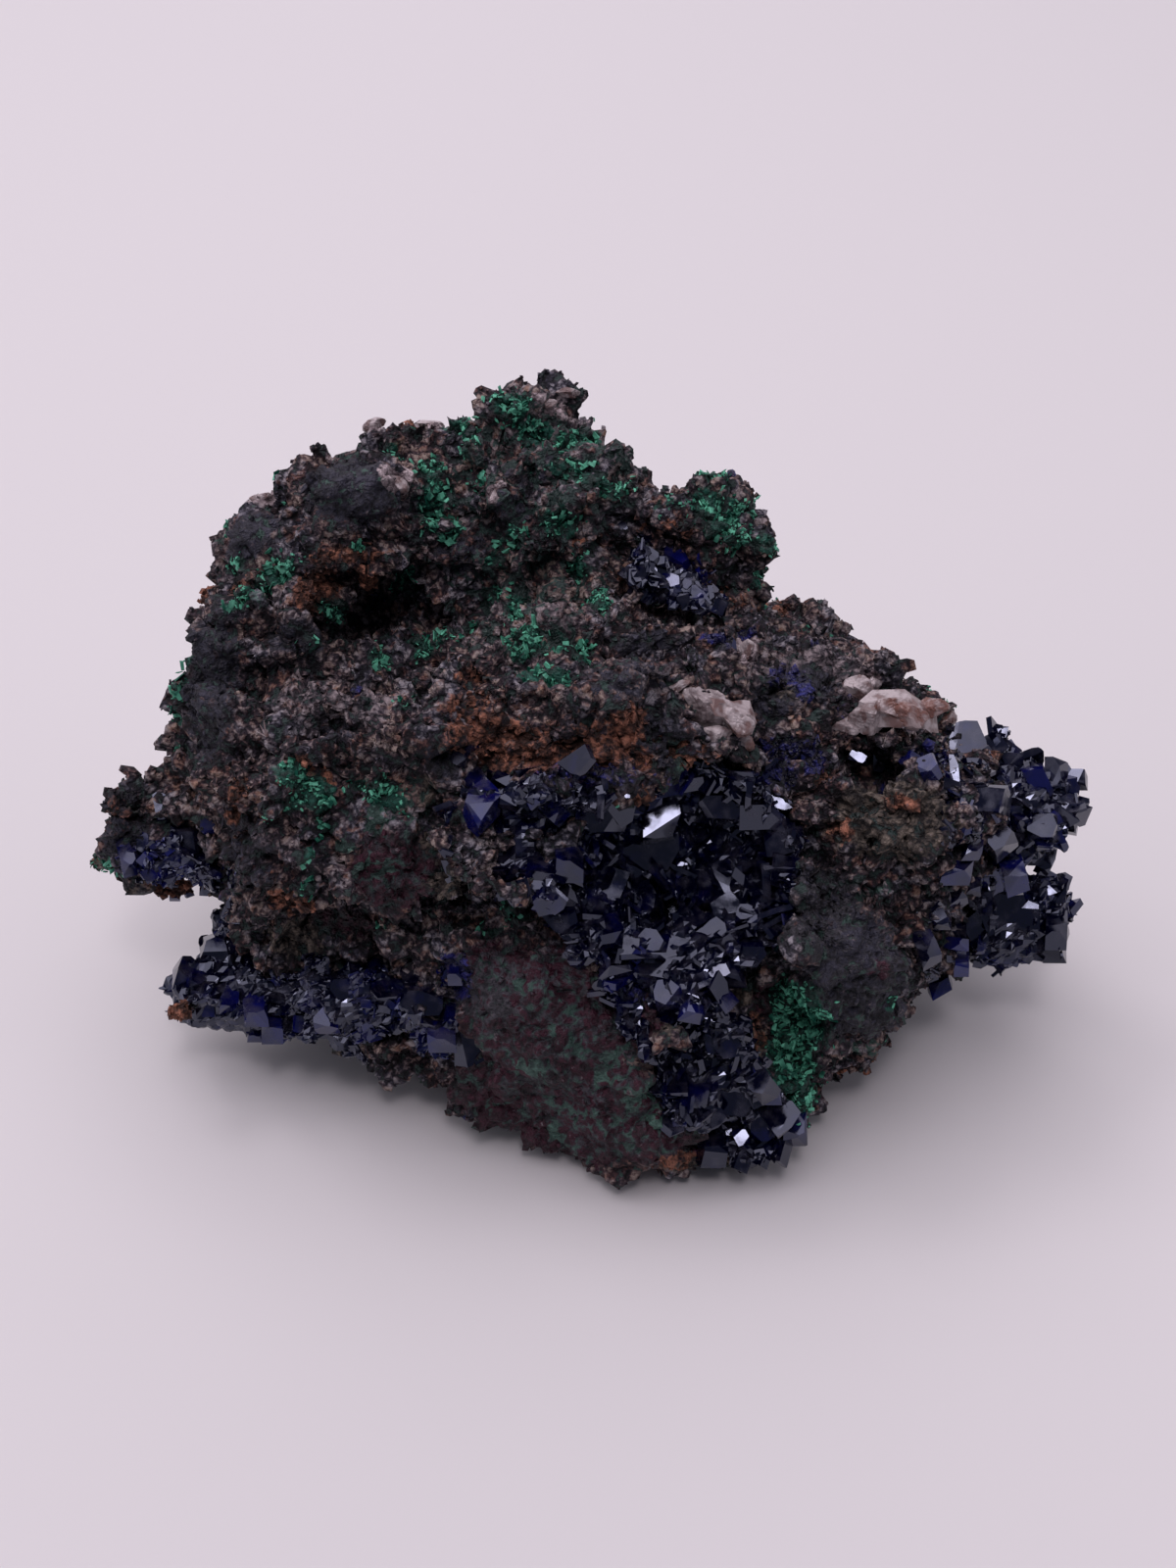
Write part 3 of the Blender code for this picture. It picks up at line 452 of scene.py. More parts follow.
def view_axes(turn):
    """The axes across and up the frame, turned by an angle in degrees."""
    angle = math.radians(turn)
    return RIGHT * math.cos(angle) + UP * math.sin(angle), UP * math.cos(angle) - RIGHT * math.sin(angle)


def view_frame(turn):
    """The turned axes of the frame and the one towards the camera, as columns."""
    return np.array([*view_axes(turn), BACK]).T


def cell_random(middle):
    """A random vector for the cell with that middle, with numbers from 0 to 1."""
    return noise.cell_vector(middle * CELL_FACTOR)


def carried_at(trees, place):
    """The point and normal where the ray through a place meets the nearest of the surfaces."""
    direction = pixel_ray(place)
    hits = [tree.ray_cast(CAMERA_PLACE, direction) for tree in trees]
    hits = [hit for hit in hits if hit[0] is not None]
    if hits:
        return min(hits, key=lambda hit: hit[3])[:2]
    steps = [CAMERA_PLACE + direction * CAMERA_DISTANCE * (0.7 + 0.01 * i) for i in range(60)]
    near = [(tree.find_nearest(step), step) for tree in trees for step in steps]
    found, step = min(near, key=lambda pair: pair[0][3])
    return found[0].lerp(step, 0.2), found[1]


def apply_modifier(obj, kind, **settings):
    """Adds a modifier and makes its result the object's own mesh."""
    modifier = obj.modifiers.new(kind.lower(), kind)
    for key, value in settings.items():
        setattr(modifier, key, value)
    graph = bpy.context.evaluated_depsgraph_get()
    mesh = bpy.data.meshes.new_from_object(obj.evaluated_get(graph))
    obj.modifiers.clear()
    old = obj.data
    obj.data = mesh
    bpy.data.meshes.remove(old)


def add_piece(name, mesh, replaced=()):
    """Puts a mesh in the scene as a piece that rides on the specimen's body."""
    mesh.name = name
    obj = bpy.data.objects.new(name, mesh)
    bpy.context.scene.collection.objects.link(obj)
    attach(obj, "root")
    if replaced:
        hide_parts(*replaced)
    return obj


def welded_node(name):
    """A welded copy of a CAD node's mesh."""
    bm = bmesh.new()
    bm.from_mesh(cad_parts[name].data)
    bmesh.ops.remove_doubles(bm, verts=bm.verts, dist=0.002 * MM)
    for layer in list(bm.loops.layers.uv):
        bm.loops.layers.uv.remove(layer)
    mesh = bpy.data.meshes.new(name + "_copy")
    bm.to_mesh(mesh)
    bm.free()
    return mesh


def vertex_vectors(mesh, name):
    """The places ("co") or the normals ("normal") of a mesh's vertices as an array."""
    values = np.empty(len(mesh.vertices) * 3, np.float32)
    mesh.vertices.foreach_get(name, values)
    return values.reshape(-1, 3).astype(float)


def arrays_of(mesh):
    """The points and triangles of a mesh as arrays."""
    mesh.calc_loop_triangles()
    triangles = np.empty(len(mesh.loop_triangles) * 3, np.int32)
    mesh.loop_triangles.foreach_get("vertices", triangles)
    return vertex_vectors(mesh, "co"), triangles.reshape(-1, 3)


def mesh_of(name, points, triangles, marks):
    """A mesh from arrays, with one point attribute for each mark."""
    mesh = bpy.data.meshes.new(name)
    mesh.vertices.add(len(points))
    mesh.vertices.foreach_set("co", points.astype(np.float32).ravel())
    mesh.loops.add(len(triangles) * 3)
    mesh.loops.foreach_set("vertex_index", triangles.astype(np.int32).ravel())
    mesh.polygons.add(len(triangles))
    mesh.polygons.foreach_set("loop_start", np.arange(0, len(triangles) * 3, 3, dtype=np.int32))
    mesh.update(calc_edges=True)
    mesh.shade_flat()
    set_marks(mesh, marks)
    return mesh


def set_marks(mesh, marks):
    """Writes each mark as an attribute of the vertices."""
    for name, values in marks.items():
        attribute = mesh.attributes.new(name, "FLOAT", "POINT")
        attribute.data.foreach_set("value", values.astype(np.float32))


class Skin:
    """A surface to look things up on: its points, triangles, normals, marks, and a search tree."""

    def __init__(self, mesh):
        self.points, self.triangles = arrays_of(mesh)
        corners = self.points[self.triangles]
        cross = np.cross(corners[:, 1] - corners[:, 0], corners[:, 2] - corners[:, 0])
        self.areas = np.linalg.norm(cross, axis=1) / 2
        self.faces_normals = cross / np.maximum(self.areas[:, None] * 2, 1e-20)
        self.normals = vertex_vectors(mesh, "normal")
        self.marks = {}
        for name in MARKS:
            if name in mesh.attributes:
                values = np.empty(len(self.points), np.float32)
                mesh.attributes[name].data.foreach_get("value", values)
                self.marks[name] = values.astype(float)
        self.tree = BVHTree.FromPolygons(self.points.tolist(), self.triangles.tolist())

    def sample(self, count, density, rng):
        """Random points on the skin, thrown by a density that is given for each vertex."""
        weight = self.areas * density[self.triangles].mean(axis=1)
        chosen = rng.choice(len(weight), size=count, p=weight / weight.sum())
        a, b = rng.random((2, count))
        flip = a + b > 1
        a[flip], b[flip] = 1 - a[flip], 1 - b[flip]
        shares = np.stack([1 - a - b, a, b], axis=1)[:, :, None]
        corners = self.triangles[chosen]
        places = (self.points[corners] * shares).sum(axis=1)
        normals = (self.normals[corners] * shares).sum(axis=1)
        normals /= np.linalg.norm(normals, axis=1)[:, None]
        marks = {k: (v[corners] * shares[:, :, 0]).sum(axis=1) for k, v in self.marks.items()}
        return places, normals, marks


def join_arrays(parts):
    """Joins (points, triangles) pairs into one pair."""
    starts = np.cumsum([0] + [len(points) for points, _ in parts[:-1]])
    all_triangles = [triangles + start for (_, triangles), start in zip(parts, starts)]
    return np.concatenate([points for points, _ in parts]), np.concatenate(all_triangles)


def frames_along(normals, rng):
    """For each normal, a turned frame whose third axis is that normal, as columns."""
    spare = rng.normal(size=normals.shape)
    first = np.cross(normals, spare)
    first /= np.linalg.norm(first, axis=1)[:, None]
    second = np.cross(normals, first)
    return np.stack([first, second, normals], axis=2)


def scatter(shapes, places, frames, sizes, rng):
    """Copies of small shapes set in frames at places: points, triangles, and each point's copy number."""
    pick = rng.integers(len(shapes), size=len(places))
    all_points, all_triangles, owners = [], [], []
    start = 0
    for k, (points, triangles) in enumerate(shapes):
        mine = np.nonzero(pick == k)[0]
        scaled = points[None] * sizes[mine][:, None, :]
        world = np.einsum("nij,nkj->nki", frames[mine], scaled) + places[mine][:, None]
        all_points.append(world.reshape(-1, 3))
        shift = start + np.arange(len(mine)) * len(points)
        all_triangles.append((triangles[None] + shift[:, None, None]).reshape(-1, 3))
        owners.append(np.repeat(mine, len(points)))
        start += len(mine) * len(points)
    return np.concatenate(all_points), np.concatenate(all_triangles), np.concatenate(owners)


def shape_arrays(bm):
    """Closes a small shape's bmesh and returns it as arrays."""
    bmesh.ops.recalc_face_normals(bm, faces=bm.faces)
    mesh = bpy.data.meshes.new("shape")
    bm.to_mesh(mesh)
    bm.free()
    points, triangles = arrays_of(mesh)
    bpy.data.meshes.remove(mesh)
    return points, triangles


def grain_shape(rng, stretch, unevenness):
    """A grain of about unit radius with 20 uneven faces."""
    bm = bmesh.new()
    bmesh.ops.create_icosphere(bm, subdivisions=1, radius=1)
    for vert in bm.verts:
        vert.co *= 1 + unevenness * rng.uniform(-1, 1)
    bmesh.ops.scale(bm, vec=stretch, verts=bm.verts)
    return shape_arrays(bm)


def chip_shape(rng, stretch):
    """An angular chip of about unit radius with 12 faces."""
    bm = bmesh.new()
    bmesh.ops.create_cube(bm, size=1.5)
    for vert in bm.verts:
        vert.co += Vector(rng.uniform(-0.35, 0.35, 3))
    bmesh.ops.scale(bm, vec=stretch, verts=bm.verts)
    return shape_arrays(bm)


def cleave(bm, point, normal):
    """Cuts off what lies beyond a plane and closes the cut with a flat face."""
    geometry = bm.verts[:] + bm.edges[:] + bm.faces[:]
    bmesh.ops.bisect_plane(bm, geom=geometry, plane_co=point, plane_no=normal, clear_outer=True)
    rim = [edge for edge in bm.edges if edge.is_boundary]
    bmesh.ops.holes_fill(bm, edges=rim, sides=0)


def crystal_shape(rng):
    """A tabular crystal of unit length about its origin, lying or on edge, with cleaved corners."""
    bm = bmesh.new()
    bmesh.ops.create_cube(bm, size=1)
    lying = rng.random() < 0.6
    size = (1, rng.uniform(0.5, 0.95), rng.uniform(0.1, 0.3)) if lying else (1, rng.uniform(0.1, 0.2), 0.85)
    bmesh.ops.scale(bm, vec=size, verts=bm.verts)
    for _ in range(5):
        around = rng.uniform(0, math.tau)
        out = Vector((math.cos(around), math.sin(around), rng.uniform(-0.2, 1.2))).normalized()
        cleave(bm, out * rng.uniform(0.26, 0.46), out)
    return shape_arrays(bm)


def facet_shape(rng, width, height):
    """A crystal whose top face, at its origin, is an uneven polygon of that width and height."""
    depth = 0.8 * min(width, height) + 0.2 * max(width, height)
    bm = bmesh.new()
    bmesh.ops.create_cube(bm, size=1)
    bmesh.ops.scale(bm, vec=(width, height, depth), verts=bm.verts)
    bmesh.ops.translate(bm, vec=(0, 0, -depth / 2), verts=bm.verts)
    start = rng.uniform(0, math.tau)
    for k in range(5):
        around = start + (k + rng.uniform(-0.35, 0.35)) * math.tau / 5
        reach = 0.5 * math.hypot(width * math.cos(around), height * math.sin(around))
        out = Vector((math.cos(around), math.sin(around), rng.uniform(0.05, 0.6)))
        cleave(bm, Vector((math.cos(around), math.sin(around), 0)) * reach * rng.uniform(0.75, 1.1), out)
    around = rng.uniform(0, math.tau)
    out = Vector((math.cos(around), math.sin(around), rng.uniform(1.2, 2.5)))
    cleave(bm, out.normalized() * 0.16 * min(width, height), out)
    return shape_arrays(bm)


# ---------------------------------------------------------------------------------------------
# The rock
# ---------------------------------------------------------------------------------------------


def patch_weights(points, tree, patches):
    """The weight of each kind of patch at each point, from its strength at the middle to 0 at the rim.

    The middle of a patch is where the ray through its place meets the surface of the search tree.
    """
    weights = {}
    axes = np.array([RIGHT, UP, BACK])
    for kind, place, half, turn, strength in patches:
        hit, _ = carried_at([tree], place)
        size = pixel_size(hit)
        local = (points - np.array(hit)) @ axes.T / size
        c, s = math.cos(math.radians(turn)), math.sin(math.radians(turn))
        along = (local[:, 0] * c + local[:, 1] * s) / half[0]
        across = (local[:, 1] * c - local[:, 0] * s) / half[1]
        deep = local[:, 2] / (2 * max(half) + 30)
        distance = np.sqrt(along**2 + across**2 + deep**2)
        weight = strength * smoothstep(1.35, 0.55, distance)
        weights[kind] = np.maximum(weights.get(kind, 0), weight)
    return weights


def fragment(point, size):
    """The height of a field of fragments of that size, each a flat tilted face with a crack round it."""
    distances, centres = noise.voronoi(point / size)
    tilt = cell_random(centres[0]) - Vector((0.5, 0.5, 0.5))
    crack = min(1.0, 2.6 * (distances[1] - distances[0]))
    return 0.5 * tilt.x + 1.2 * (point / size - centres[0]).dot(tilt) + 0.6 * (crack - 1)


def rock_height(point, smooth):
    """How far the rock's surface stands out at a point, in mm: it broke into blocks, chunks and chips."""
    warped = point + noise.noise_vector(point / 3.0) * 0.8
    warped.z *= 1.4
    blocks = 2.3 * fragment(warped, 6.5)
    chunks = 1.7 * fragment(warped, 3.2)
    chips = 0.8 * fragment(warped, 1.4)
    swell = 0.9 * noise.noise(point / 8)
    grit = 0.2 * noise.noise(point / 0.6)
    return 0.6 + swell + (blocks + chunks) * (1 - 0.75 * smooth) + (chips + grit) * (1 - 0.3 * smooth)


def move_vertices(mesh, points):
    """Moves every vertex of a mesh to its point, and none below the floor."""
    points[:, 2] = np.maximum(points[:, 2], 0)
    mesh.vertices.foreach_set("co", points.astype(np.float32).ravel())
    mesh.update()


def move_along_normals(mesh, heights):
    """Moves every vertex of a mesh out by its height."""
    points, normals = vertex_vectors(mesh, "co"), vertex_vectors(mesh, "normal")
    move_vertices(mesh, points + normals * heights[:, None])


def stamp_relief(mesh):
    """Presses the pits in and draws the lumps out, along the normal at each one's middle."""
    skin = Skin(mesh)
    moved = skin.points.copy()
    for place, half, turn, height in RELIEF:
        _, normal = carried_at([skin.tree], place)
        weight = patch_weights(skin.points, skin.tree, [("stamp", place, half, turn, 1.0)])["stamp"]
        moved += weight[:, None] * height * MM * np.array(normal)
    move_vertices(mesh, moved)


def marks_at(points, solid, skin):
    """Every mark at the points: patches on the display side, scattered ones where the solid turns away."""
    bent = points + np.array([noise.noise_vector(Vector(p) / (1.6 * MM)) for p in points]) * 0.55 * MM
    marks = patch_weights(bent, skin.tree, PATCHES + SMOOTH_PATCHES)
    facing = [solid.tree.find_nearest(Vector(p))[1].dot(BACK) for p in points]
    hidden = smoothstep(0.05, -0.3, np.array(facing))
    for k, name in enumerate(MARKS):
        if name in ("smooth", "quartz"):
            continue
        shift = Vector((7.3 * k, -3.1 * k, 5.7 * k))
        field = np.array([noise.fractal(Vector(p) / (9 * MM) + shift, 1.0, 2.0, 3) for p in points])
        marks[name] = np.maximum(marks[name], hidden * 1.1 * smoothstep(0.25, 0.6, field))
    return marks


def add_lumps(mesh):
    """Sets the lumps on the rock and on the crusts, as balls that sink half into them."""
    trees = [Skin(mesh).tree]
    for name in AZURITE_PIECES:
        crust = welded_node(name)
        trees.append(Skin(crust).tree)
        bpy.data.meshes.remove(crust)
    bm = bmesh.new()
    bm.from_mesh(mesh)
    for place, half, turn in LUMPS:
        hit, _ = carried_at(trees, place)
        size = pixel_size(hit)
        form = Matrix.Diagonal((half[0] * size, half[1] * size, min(half) * size, 1))
        turned = Matrix(view_frame(turn).tolist()).to_4x4()
        matrix = Matrix.Translation(hit) @ turned @ form
        bmesh.ops.create_icosphere(bm, subdivisions=2, radius=1, matrix=matrix)
    bm.to_mesh(mesh)
    bm.free()


def add_knobs(mesh, count):
    """Studs the rock with round knobs of 0.5 to 1.7 mm, the way limonite grows."""
    skin = Skin(mesh)
    rng = np.random.default_rng(KNOBS_SEED)
    smooth = patch_weights(skin.points, skin.tree, SMOOTH_PATCHES)["smooth"]
    places, normals, _ = skin.sample(count, 1 - 0.97 * np.minimum(smooth * 1.3, 1), rng)
    radii = rng.uniform(0.5, 0.7, count) * rng.uniform(0.8, 1.7, count) * MM
    places = places - normals * (radii * rng.uniform(0.2, 0.7, count))[:, None]
    places[:, 2] = np.maximum(places[:, 2], radii)
    shapes = [grain_shape(rng, (1, 1, 1), 0.1) for _ in range(6)]
    sizes = np.repeat(radii[:, None], 3, axis=1)
    points, triangles, _ = scatter(shapes, places, frames_along(normals, rng), sizes, rng)
    points, triangles = join_arrays([(skin.points, skin.triangles), (points, triangles)])
    return mesh_of("rock_with_knobs", points, triangles, {})


def grow_rock(voxel, knobs):
    """The limonite body: the CAD rock rounded, stamped, roughened and marked with its minerals."""
    obj = bpy.data.objects.new("rock_growth", welded_node("matrix"))
    bpy.context.scene.collection.objects.link(obj)
    solid = Skin(obj.data)
    add_lumps(obj.data)
    apply_modifier(obj, "REMESH", mode="VOXEL", voxel_size=ROCK_VOXEL)
    apply_modifier(obj, "SMOOTH", factor=0.5, iterations=8)
    stamp_relief(obj.data)
    obj.data = add_knobs(obj.data, knobs)
    apply_modifier(obj, "REMESH", mode="VOXEL", voxel_size=voxel)
    skin = Skin(obj.data)
    smooth = patch_weights(skin.points, skin.tree, SMOOTH_PATCHES)["smooth"]
    heights = [rock_height(Vector(p) / MM, s) for p, s in zip(skin.points, smooth)]
    move_along_normals(obj.data, np.array(heights) * MM)
    skin = Skin(obj.data)
    set_marks(obj.data, marks_at(skin.points, solid, skin))
    mesh = obj.data
    bpy.data.objects.remove(obj)
    for polygon in mesh.polygons:
        polygon.use_smooth = True
    return add_piece("limonite_rock", mesh, ["matrix"])


# ---------------------------------------------------------------------------------------------
# Crumbs, grains and flakes
# ---------------------------------------------------------------------------------------------


def tilted(normals, spread, rng):
    """The normals, each bent at random."""
    bent = normals + rng.normal(scale=spread, size=normals.shape)
    return bent / np.linalg.norm(bent, axis=1)[:, None]


def strew(name, skin, density, shapes, count, rng):
    """Strews copies of small shapes over the rock, as one piece."""
    _, reach, flatness, spread, lift = GRAINS[name]
    places, normals, marks = skin.sample(count, density, rng)
    radii = reach[0] * (reach[1] / reach[0]) ** (rng.random(count) ** 1.5) * MM
    places = places + normals * (radii * rng.uniform(*lift, count))[:, None]
    frames = frames_along(tilted(normals, spread, rng), rng)
    sizes = radii[:, None] * rng.uniform(0.7, 1.25, (count, 3)) * np.array([1, 1, flatness])
    points, triangles, owners = scatter(shapes, places, frames, sizes, rng)
    points[:, 2] = np.maximum(points[:, 2], 0)
    marks["tint"] = rng.random(count)
    mesh = mesh_of(name, points, triangles, {k: v[owners] for k, v in marks.items()})
    return add_piece(name, mesh)


def display_side(skin, least):
    """A density for each vertex: 1 where the display side faces, and the least behind and underneath."""
    facing = smoothstep(-0.6, 0.1, skin.normals @ np.array(BACK))
    return (least + (1 - least) * facing) * (skin.points[:, 2] > LOWEST_GRAIN)


def strew_crumbs(skin, count):
    """Crumbs of limonite all over the rough parts of the rock."""
    rng = np.random.default_rng(GRAINS["limonite_crumbs"][0])
    shapes = [grain_shape(rng, (1, 1, rng.uniform(0.6, 1)), 0.4) for _ in range(24)]
    density = display_side(skin, 0.3) * (1 - 0.85 * skin.marks["smooth"])
    return strew("limonite_crumbs", skin, density, shapes, count, rng)


def strew_grit(skin, count):
    """Fine sharp grit in the creases and on the crumbs."""
    rng = np.random.default_rng(GRAINS["limonite_grit"][0])
    shapes = [chip_shape(rng, (1.2, 0.8, 0.7)) for _ in range(24)]
    density = display_side(skin, 0.1) * (1 - 0.75 * skin.marks["smooth"])
    return strew("limonite_grit", skin, density, shapes, count, rng)


def strew_rust(skin, count):
    """Grains of orange and brown rust."""
    rng = np.random.default_rng(GRAINS["rust_grains"][0])
    shapes = [chip_shape(rng, (1, 1, 0.8)) for _ in range(12)]
    density = display_side(skin, 0.5) * np.maximum(skin.marks["rust"], 0.004)
    return strew("rust_grains", skin, density, shapes, count, rng)


def strew_malachite(skin, count):
    """Tufts of malachite: small bright plates that stand up from the rock in sprays."""
    rng = np.random.default_rng(GRAINS["malachite_tufts"][0])
    shapes = [chip_shape(rng, (1.2, rng.uniform(0.4, 0.9), rng.uniform(0.15, 0.45))) for _ in range(24)]
    veins = np.array([1 - 4.5 * abs(noise.fractal(Vector(p) / (1.6 * MM), 1.0, 2.0, 2)) for p in skin.points])
    mark = smoothstep(0.25, 1.0, 0.65 * skin.marks["malachite"] + 0.6 * veins)
    density = display_side(skin, 0.7) * mark * (skin.marks["malachite"] > 0.05) + 1e-9
    return strew("malachite_tufts", skin, density, shapes, count, rng)


# ---------------------------------------------------------------------------------------------
# Azurite
# ---------------------------------------------------------------------------------------------

# What the faces of the best crystals mirror (the lamp, the ceiling, the walls, the window or the dark in
# front): its direction, and how much that is bent at random.
MIRRORED = {
    "lamp": (LAMP_DIRECTION, 0.0),
    "sky": (Vector((-0.20, -0.10, 1.0)), 0.35),
    "side": (Vector((0.0, 0.9, 0.7)), 0.35),
    "pale": (WINDOW_DIRECTION, 0.03),
    "dark": (Vector((0.0, -0.9, 0.2)), 0.12),
}


def facet_frame(point, turn, mirror, rng):
    """The frame of a crystal face that mirrors what it should and is turned by an angle in the view."""
    to_camera = (CAMERA_PLACE - point).normalized()
    direction, spread = MIRRORED[mirror]
    target = direction.normalized() + Vector(rng.normal(scale=spread, size=3))
    normal = (target.normalized() + to_camera).normalized()
    facing = max(to_camera.dot(normal), 0.55)
    columns = [axis - to_camera * (axis.dot(normal) / facing) for axis in view_axes(turn)]
    return np.array([*columns, normal]).T


def best_crystals(crusts, rock):
    """The listed crystals of each azurite piece, as lists of points, triangles and blueness."""
    rng = np.random.default_rng(BEST_CRYSTALS_SEED)
    trees = [crust.tree for crust in crusts.values()] + [rock.tree]
    grown = {name: [] for name in crusts}
    for place, (width, height), turn, mirror, blue in FACETS:
        hit, _ = carried_at(trees, place)
        owner = min(crusts, key=lambda name: crusts[name].tree.find_nearest(hit)[3])
        size = pixel_size(hit)
        points, triangles = facet_shape(rng, 1.1 * width * size, 1.1 * height * size)
        frame_axes = facet_frame(hit, turn, mirror, rng)
        lift = BACK * ((0.1 * min(width, height) + 12 * (mirror == "lamp")) * size)
        grown[owner].append((points @ frame_axes.T + np.array(hit + lift), triangles, 0.8 * blue))
    return grown


def crust_skin(name):
    """A CAD crust of azurite, roughened into the stumps of crystals."""
    obj = bpy.data.objects.new("crust_growth", welded_node(name))
    bpy.context.scene.collection.objects.link(obj)
    apply_modifier(obj, "REMESH", mode="VOXEL", voxel_size=CRUST_VOXEL)
    points = Skin(obj.data).points / MM
    heights = [0.8 * fragment(Vector(p), 2.3) + 0.5 * fragment(Vector(p), 1.2) for p in points]
    move_along_normals(obj.data, np.array(heights) * MM)
    mesh = obj.data
    bpy.data.objects.remove(obj)
    return Skin(mesh)


def clear_of_facets(skin):
    """A density for each vertex of a skin that keeps the small crystals off the listed ones."""
    patches = [("facet", place, (0.65 * w, 0.65 * h), turn, 0.95) for place, (w, h), turn, _, _ in FACETS]
    return 1 - patch_weights(skin.points, skin.tree, patches)["facet"]


def strew_crystals(skin, density, count, reach, rarity, settings, rng):
    """Small crystals over a skin, sunk a third into it, as points, triangles and each point's blueness."""
    shapes = [crystal_shape(rng) for _ in range(24)]
    places, normals, _ = skin.sample(count, density * clear_of_facets(skin), rng)
    dark = patch_weights(places, skin.tree, DARK_CRYSTALS)["dark"][:, None]
    sheaves = [noise.voronoi(Vector(place) / SHEAF_WIDTH)[1][0] for place in places]
    leaning = np.array([cell_random(sheaf) for sheaf in sheaves]) - 0.5
    blueness = (0.8 * (leaning[:, 2] + 0.5) + 0.2 * rng.random(count)) ** rarity
    facing = (1 - dark) * (normals + 2.2 * leaning) + dark * (np.array([0, -1.0, 0.15]) + 0.7 * leaning)
    frames = frames_along(tilted(facing, 0.22, rng), rng)
    lengths = reach[0] * (reach[1] / reach[0]) ** (rng.random(count) ** 1.7) * MM * settings.crystal_size
    sizes = lengths[:, None] * rng.uniform(0.75, 1.3, (count, 3)) * (1 - np.array([0, 0, 0.7]) * dark)
    places = places - normals * (0.24 * lengths)[:, None]
    points, triangles, owners = scatter(shapes, places, frames, sizes, rng)
    return points, triangles, blueness[owners]


def crust_rock(rock, count, settings):
    """Azurite crystals where they crust the bare rock."""
    rng = np.random.default_rng(ON_ROCK_SEED)
    weight = patch_weights(rock.points, rock.tree, CRUSTED)["crystals"]
    facing = rock.normals @ np.array(BACK) > -0.2
    ragged = np.array([noise.noise(Vector(p) / (1.3 * MM)) for p in rock.points])
    density = smoothstep(0.35, 0.8, weight + 0.5 * ragged) * facing * (rock.points[:, 2] > LOWEST_CRYSTAL)
    points, triangles, tints = strew_crystals(
        rock, density, count, ON_ROCK_REACH, ON_ROCK_RARITY, settings, rng
    )
    points[:, 2] = np.maximum(points[:, 2], 0)
    mesh = mesh_of("azurite_on_rock", points, triangles, {"tint": tints})
    return add_piece("azurite_on_rock", mesh)


def grow_azurite(name, crust, best, rock, settings):
    """An azurite crust: the CAD crust, small crystals all over it, and its best crystals as listed."""
    count, reach, seed, rarity = AZURITE_PIECES[name]
    rng = np.random.default_rng(seed)
    bare = np.array([outside_of(rock.tree, Vector(p)) for p in crust.points])
    density = smoothstep(-0.8 * MM, 0.2 * MM, bare) * (crust.points[:, 2] > LOWEST_CRYSTAL) + 1e-6
    density *= 1 - patch_weights(crust.points, crust.tree, BARE_CRUST)["bare"]
    strewn = strew_crystals(crust, density, count, reach, rarity, settings, rng)
    parts = [(crust.points, crust.triangles, 0.15), strewn, *best]
    points, triangles = join_arrays([part[:2] for part in parts])
    points[:, 2] = np.maximum(points[:, 2], 0)
    tint = np.concatenate([np.broadcast_to(part[2], len(part[0])) for part in parts])
    mesh = mesh_of(name + "_crystals", points, triangles, {"tint": tint})
    return add_piece(name + "_crystals", mesh, [name])


def outside_of(tree, point):
    """How far a point lies outside a closed surface, below 0 inside it."""
    found, normal, _, distance = tree.find_nearest(point)
    return distance if (point - found).dot(normal) > 0 else -distance


# ---------------------------------------------------------------------------------------------
# Quartz
# ---------------------------------------------------------------------------------------------

# Small lumps and chips of quartz: u, v, half sizes in pixels, turn in degrees.
QUARTZ_CHIPS = placed(
    (
        (760, 665, 12, 17, -20), (885, 700, 11, 19, -10), (404, 492, 16, 9, -40), (380, 430, 15, 8, 10),
        (441, 431, 16, 7, 0), (265, 505, 13, 7, 10), (580, 402, 16, 7, 0), (560, 412, 9, 6, 20),
        (450, 617, 10, 4, 35), (505, 506, 8, 9, 0), (313, 1016, 8, 4, 0), (420, 1063, 8, 5, 0),
        (774, 533, 5, 4, 0),
    )
)

# The blocks of the two big quartz chunks: u, v, half sizes in pixels, turn in degrees, and how stained.
QUARTZ_BLOCKS = {
    "quartz_middle": placed(
        (
            (717, 722, 26, 27, -10, 0.0), (738, 740, 26, 25, 30, 0.1), (730, 752, 20, 12, 0, 0.1),
            (752, 736, 20, 16, -30, 0.5), (708, 712, 12, 16, 20, 0.0), (690, 702, 18, 8, 20, 0.6),
            (757, 756, 16, 10, -20, 0.7),
        )
    ),
    "quartz_right": placed(
        (
            (876, 706, 16, 22, 20, 0.3), (866, 742, 20, 14, 20, 0.15), (888, 734, 24, 17, 10, 0.3),
            (912, 722, 20, 16, 0, 1.0), (930, 730, 20, 15, -20, 1.2), (950, 724, 20, 15, 0, 1.3),
            (966, 732, 13, 12, 0, 1.2), (890, 700, 10, 14, -20, 0.1),
        )
    ),
}

# Thin blades of a small white spray: the place of its root, and each blade's turn and length in pixels.
WHITE_SPRAY = (272, 752)
WHITE_BLADES = ((80, 16), (118, 14), (150, 11), (40, 10), (98, 17), (62, 9))


def quartz_lump(rng, half, depth):
    """A broken lump of quartz of that half width, half height and half depth."""
    bm = bmesh.new()
    bmesh.ops.create_icosphere(bm, subdivisions=4, radius=1.0)
    planes = []
    for _ in range(9):
        planes.append((Vector(rng.normal(size=3)).normalized(), rng.uniform(0.5, 0.8)))
    shift = Vector(rng.uniform(-50, 50, 3))
    for vert in bm.verts:
        out = vert.co.normalized()
        reach = min([1.0] + [limit / max(out.dot(normal), 0.05) for normal, limit in planes])
        vert.co = out * (reach + 0.07 * fragment(out * 3 + shift, 1.0) + 0.02 * noise.noise(out * 9 + shift))
    bmesh.ops.scale(bm, vec=(half[0], half[1], depth), verts=bm.verts)
    return shape_arrays(bm)


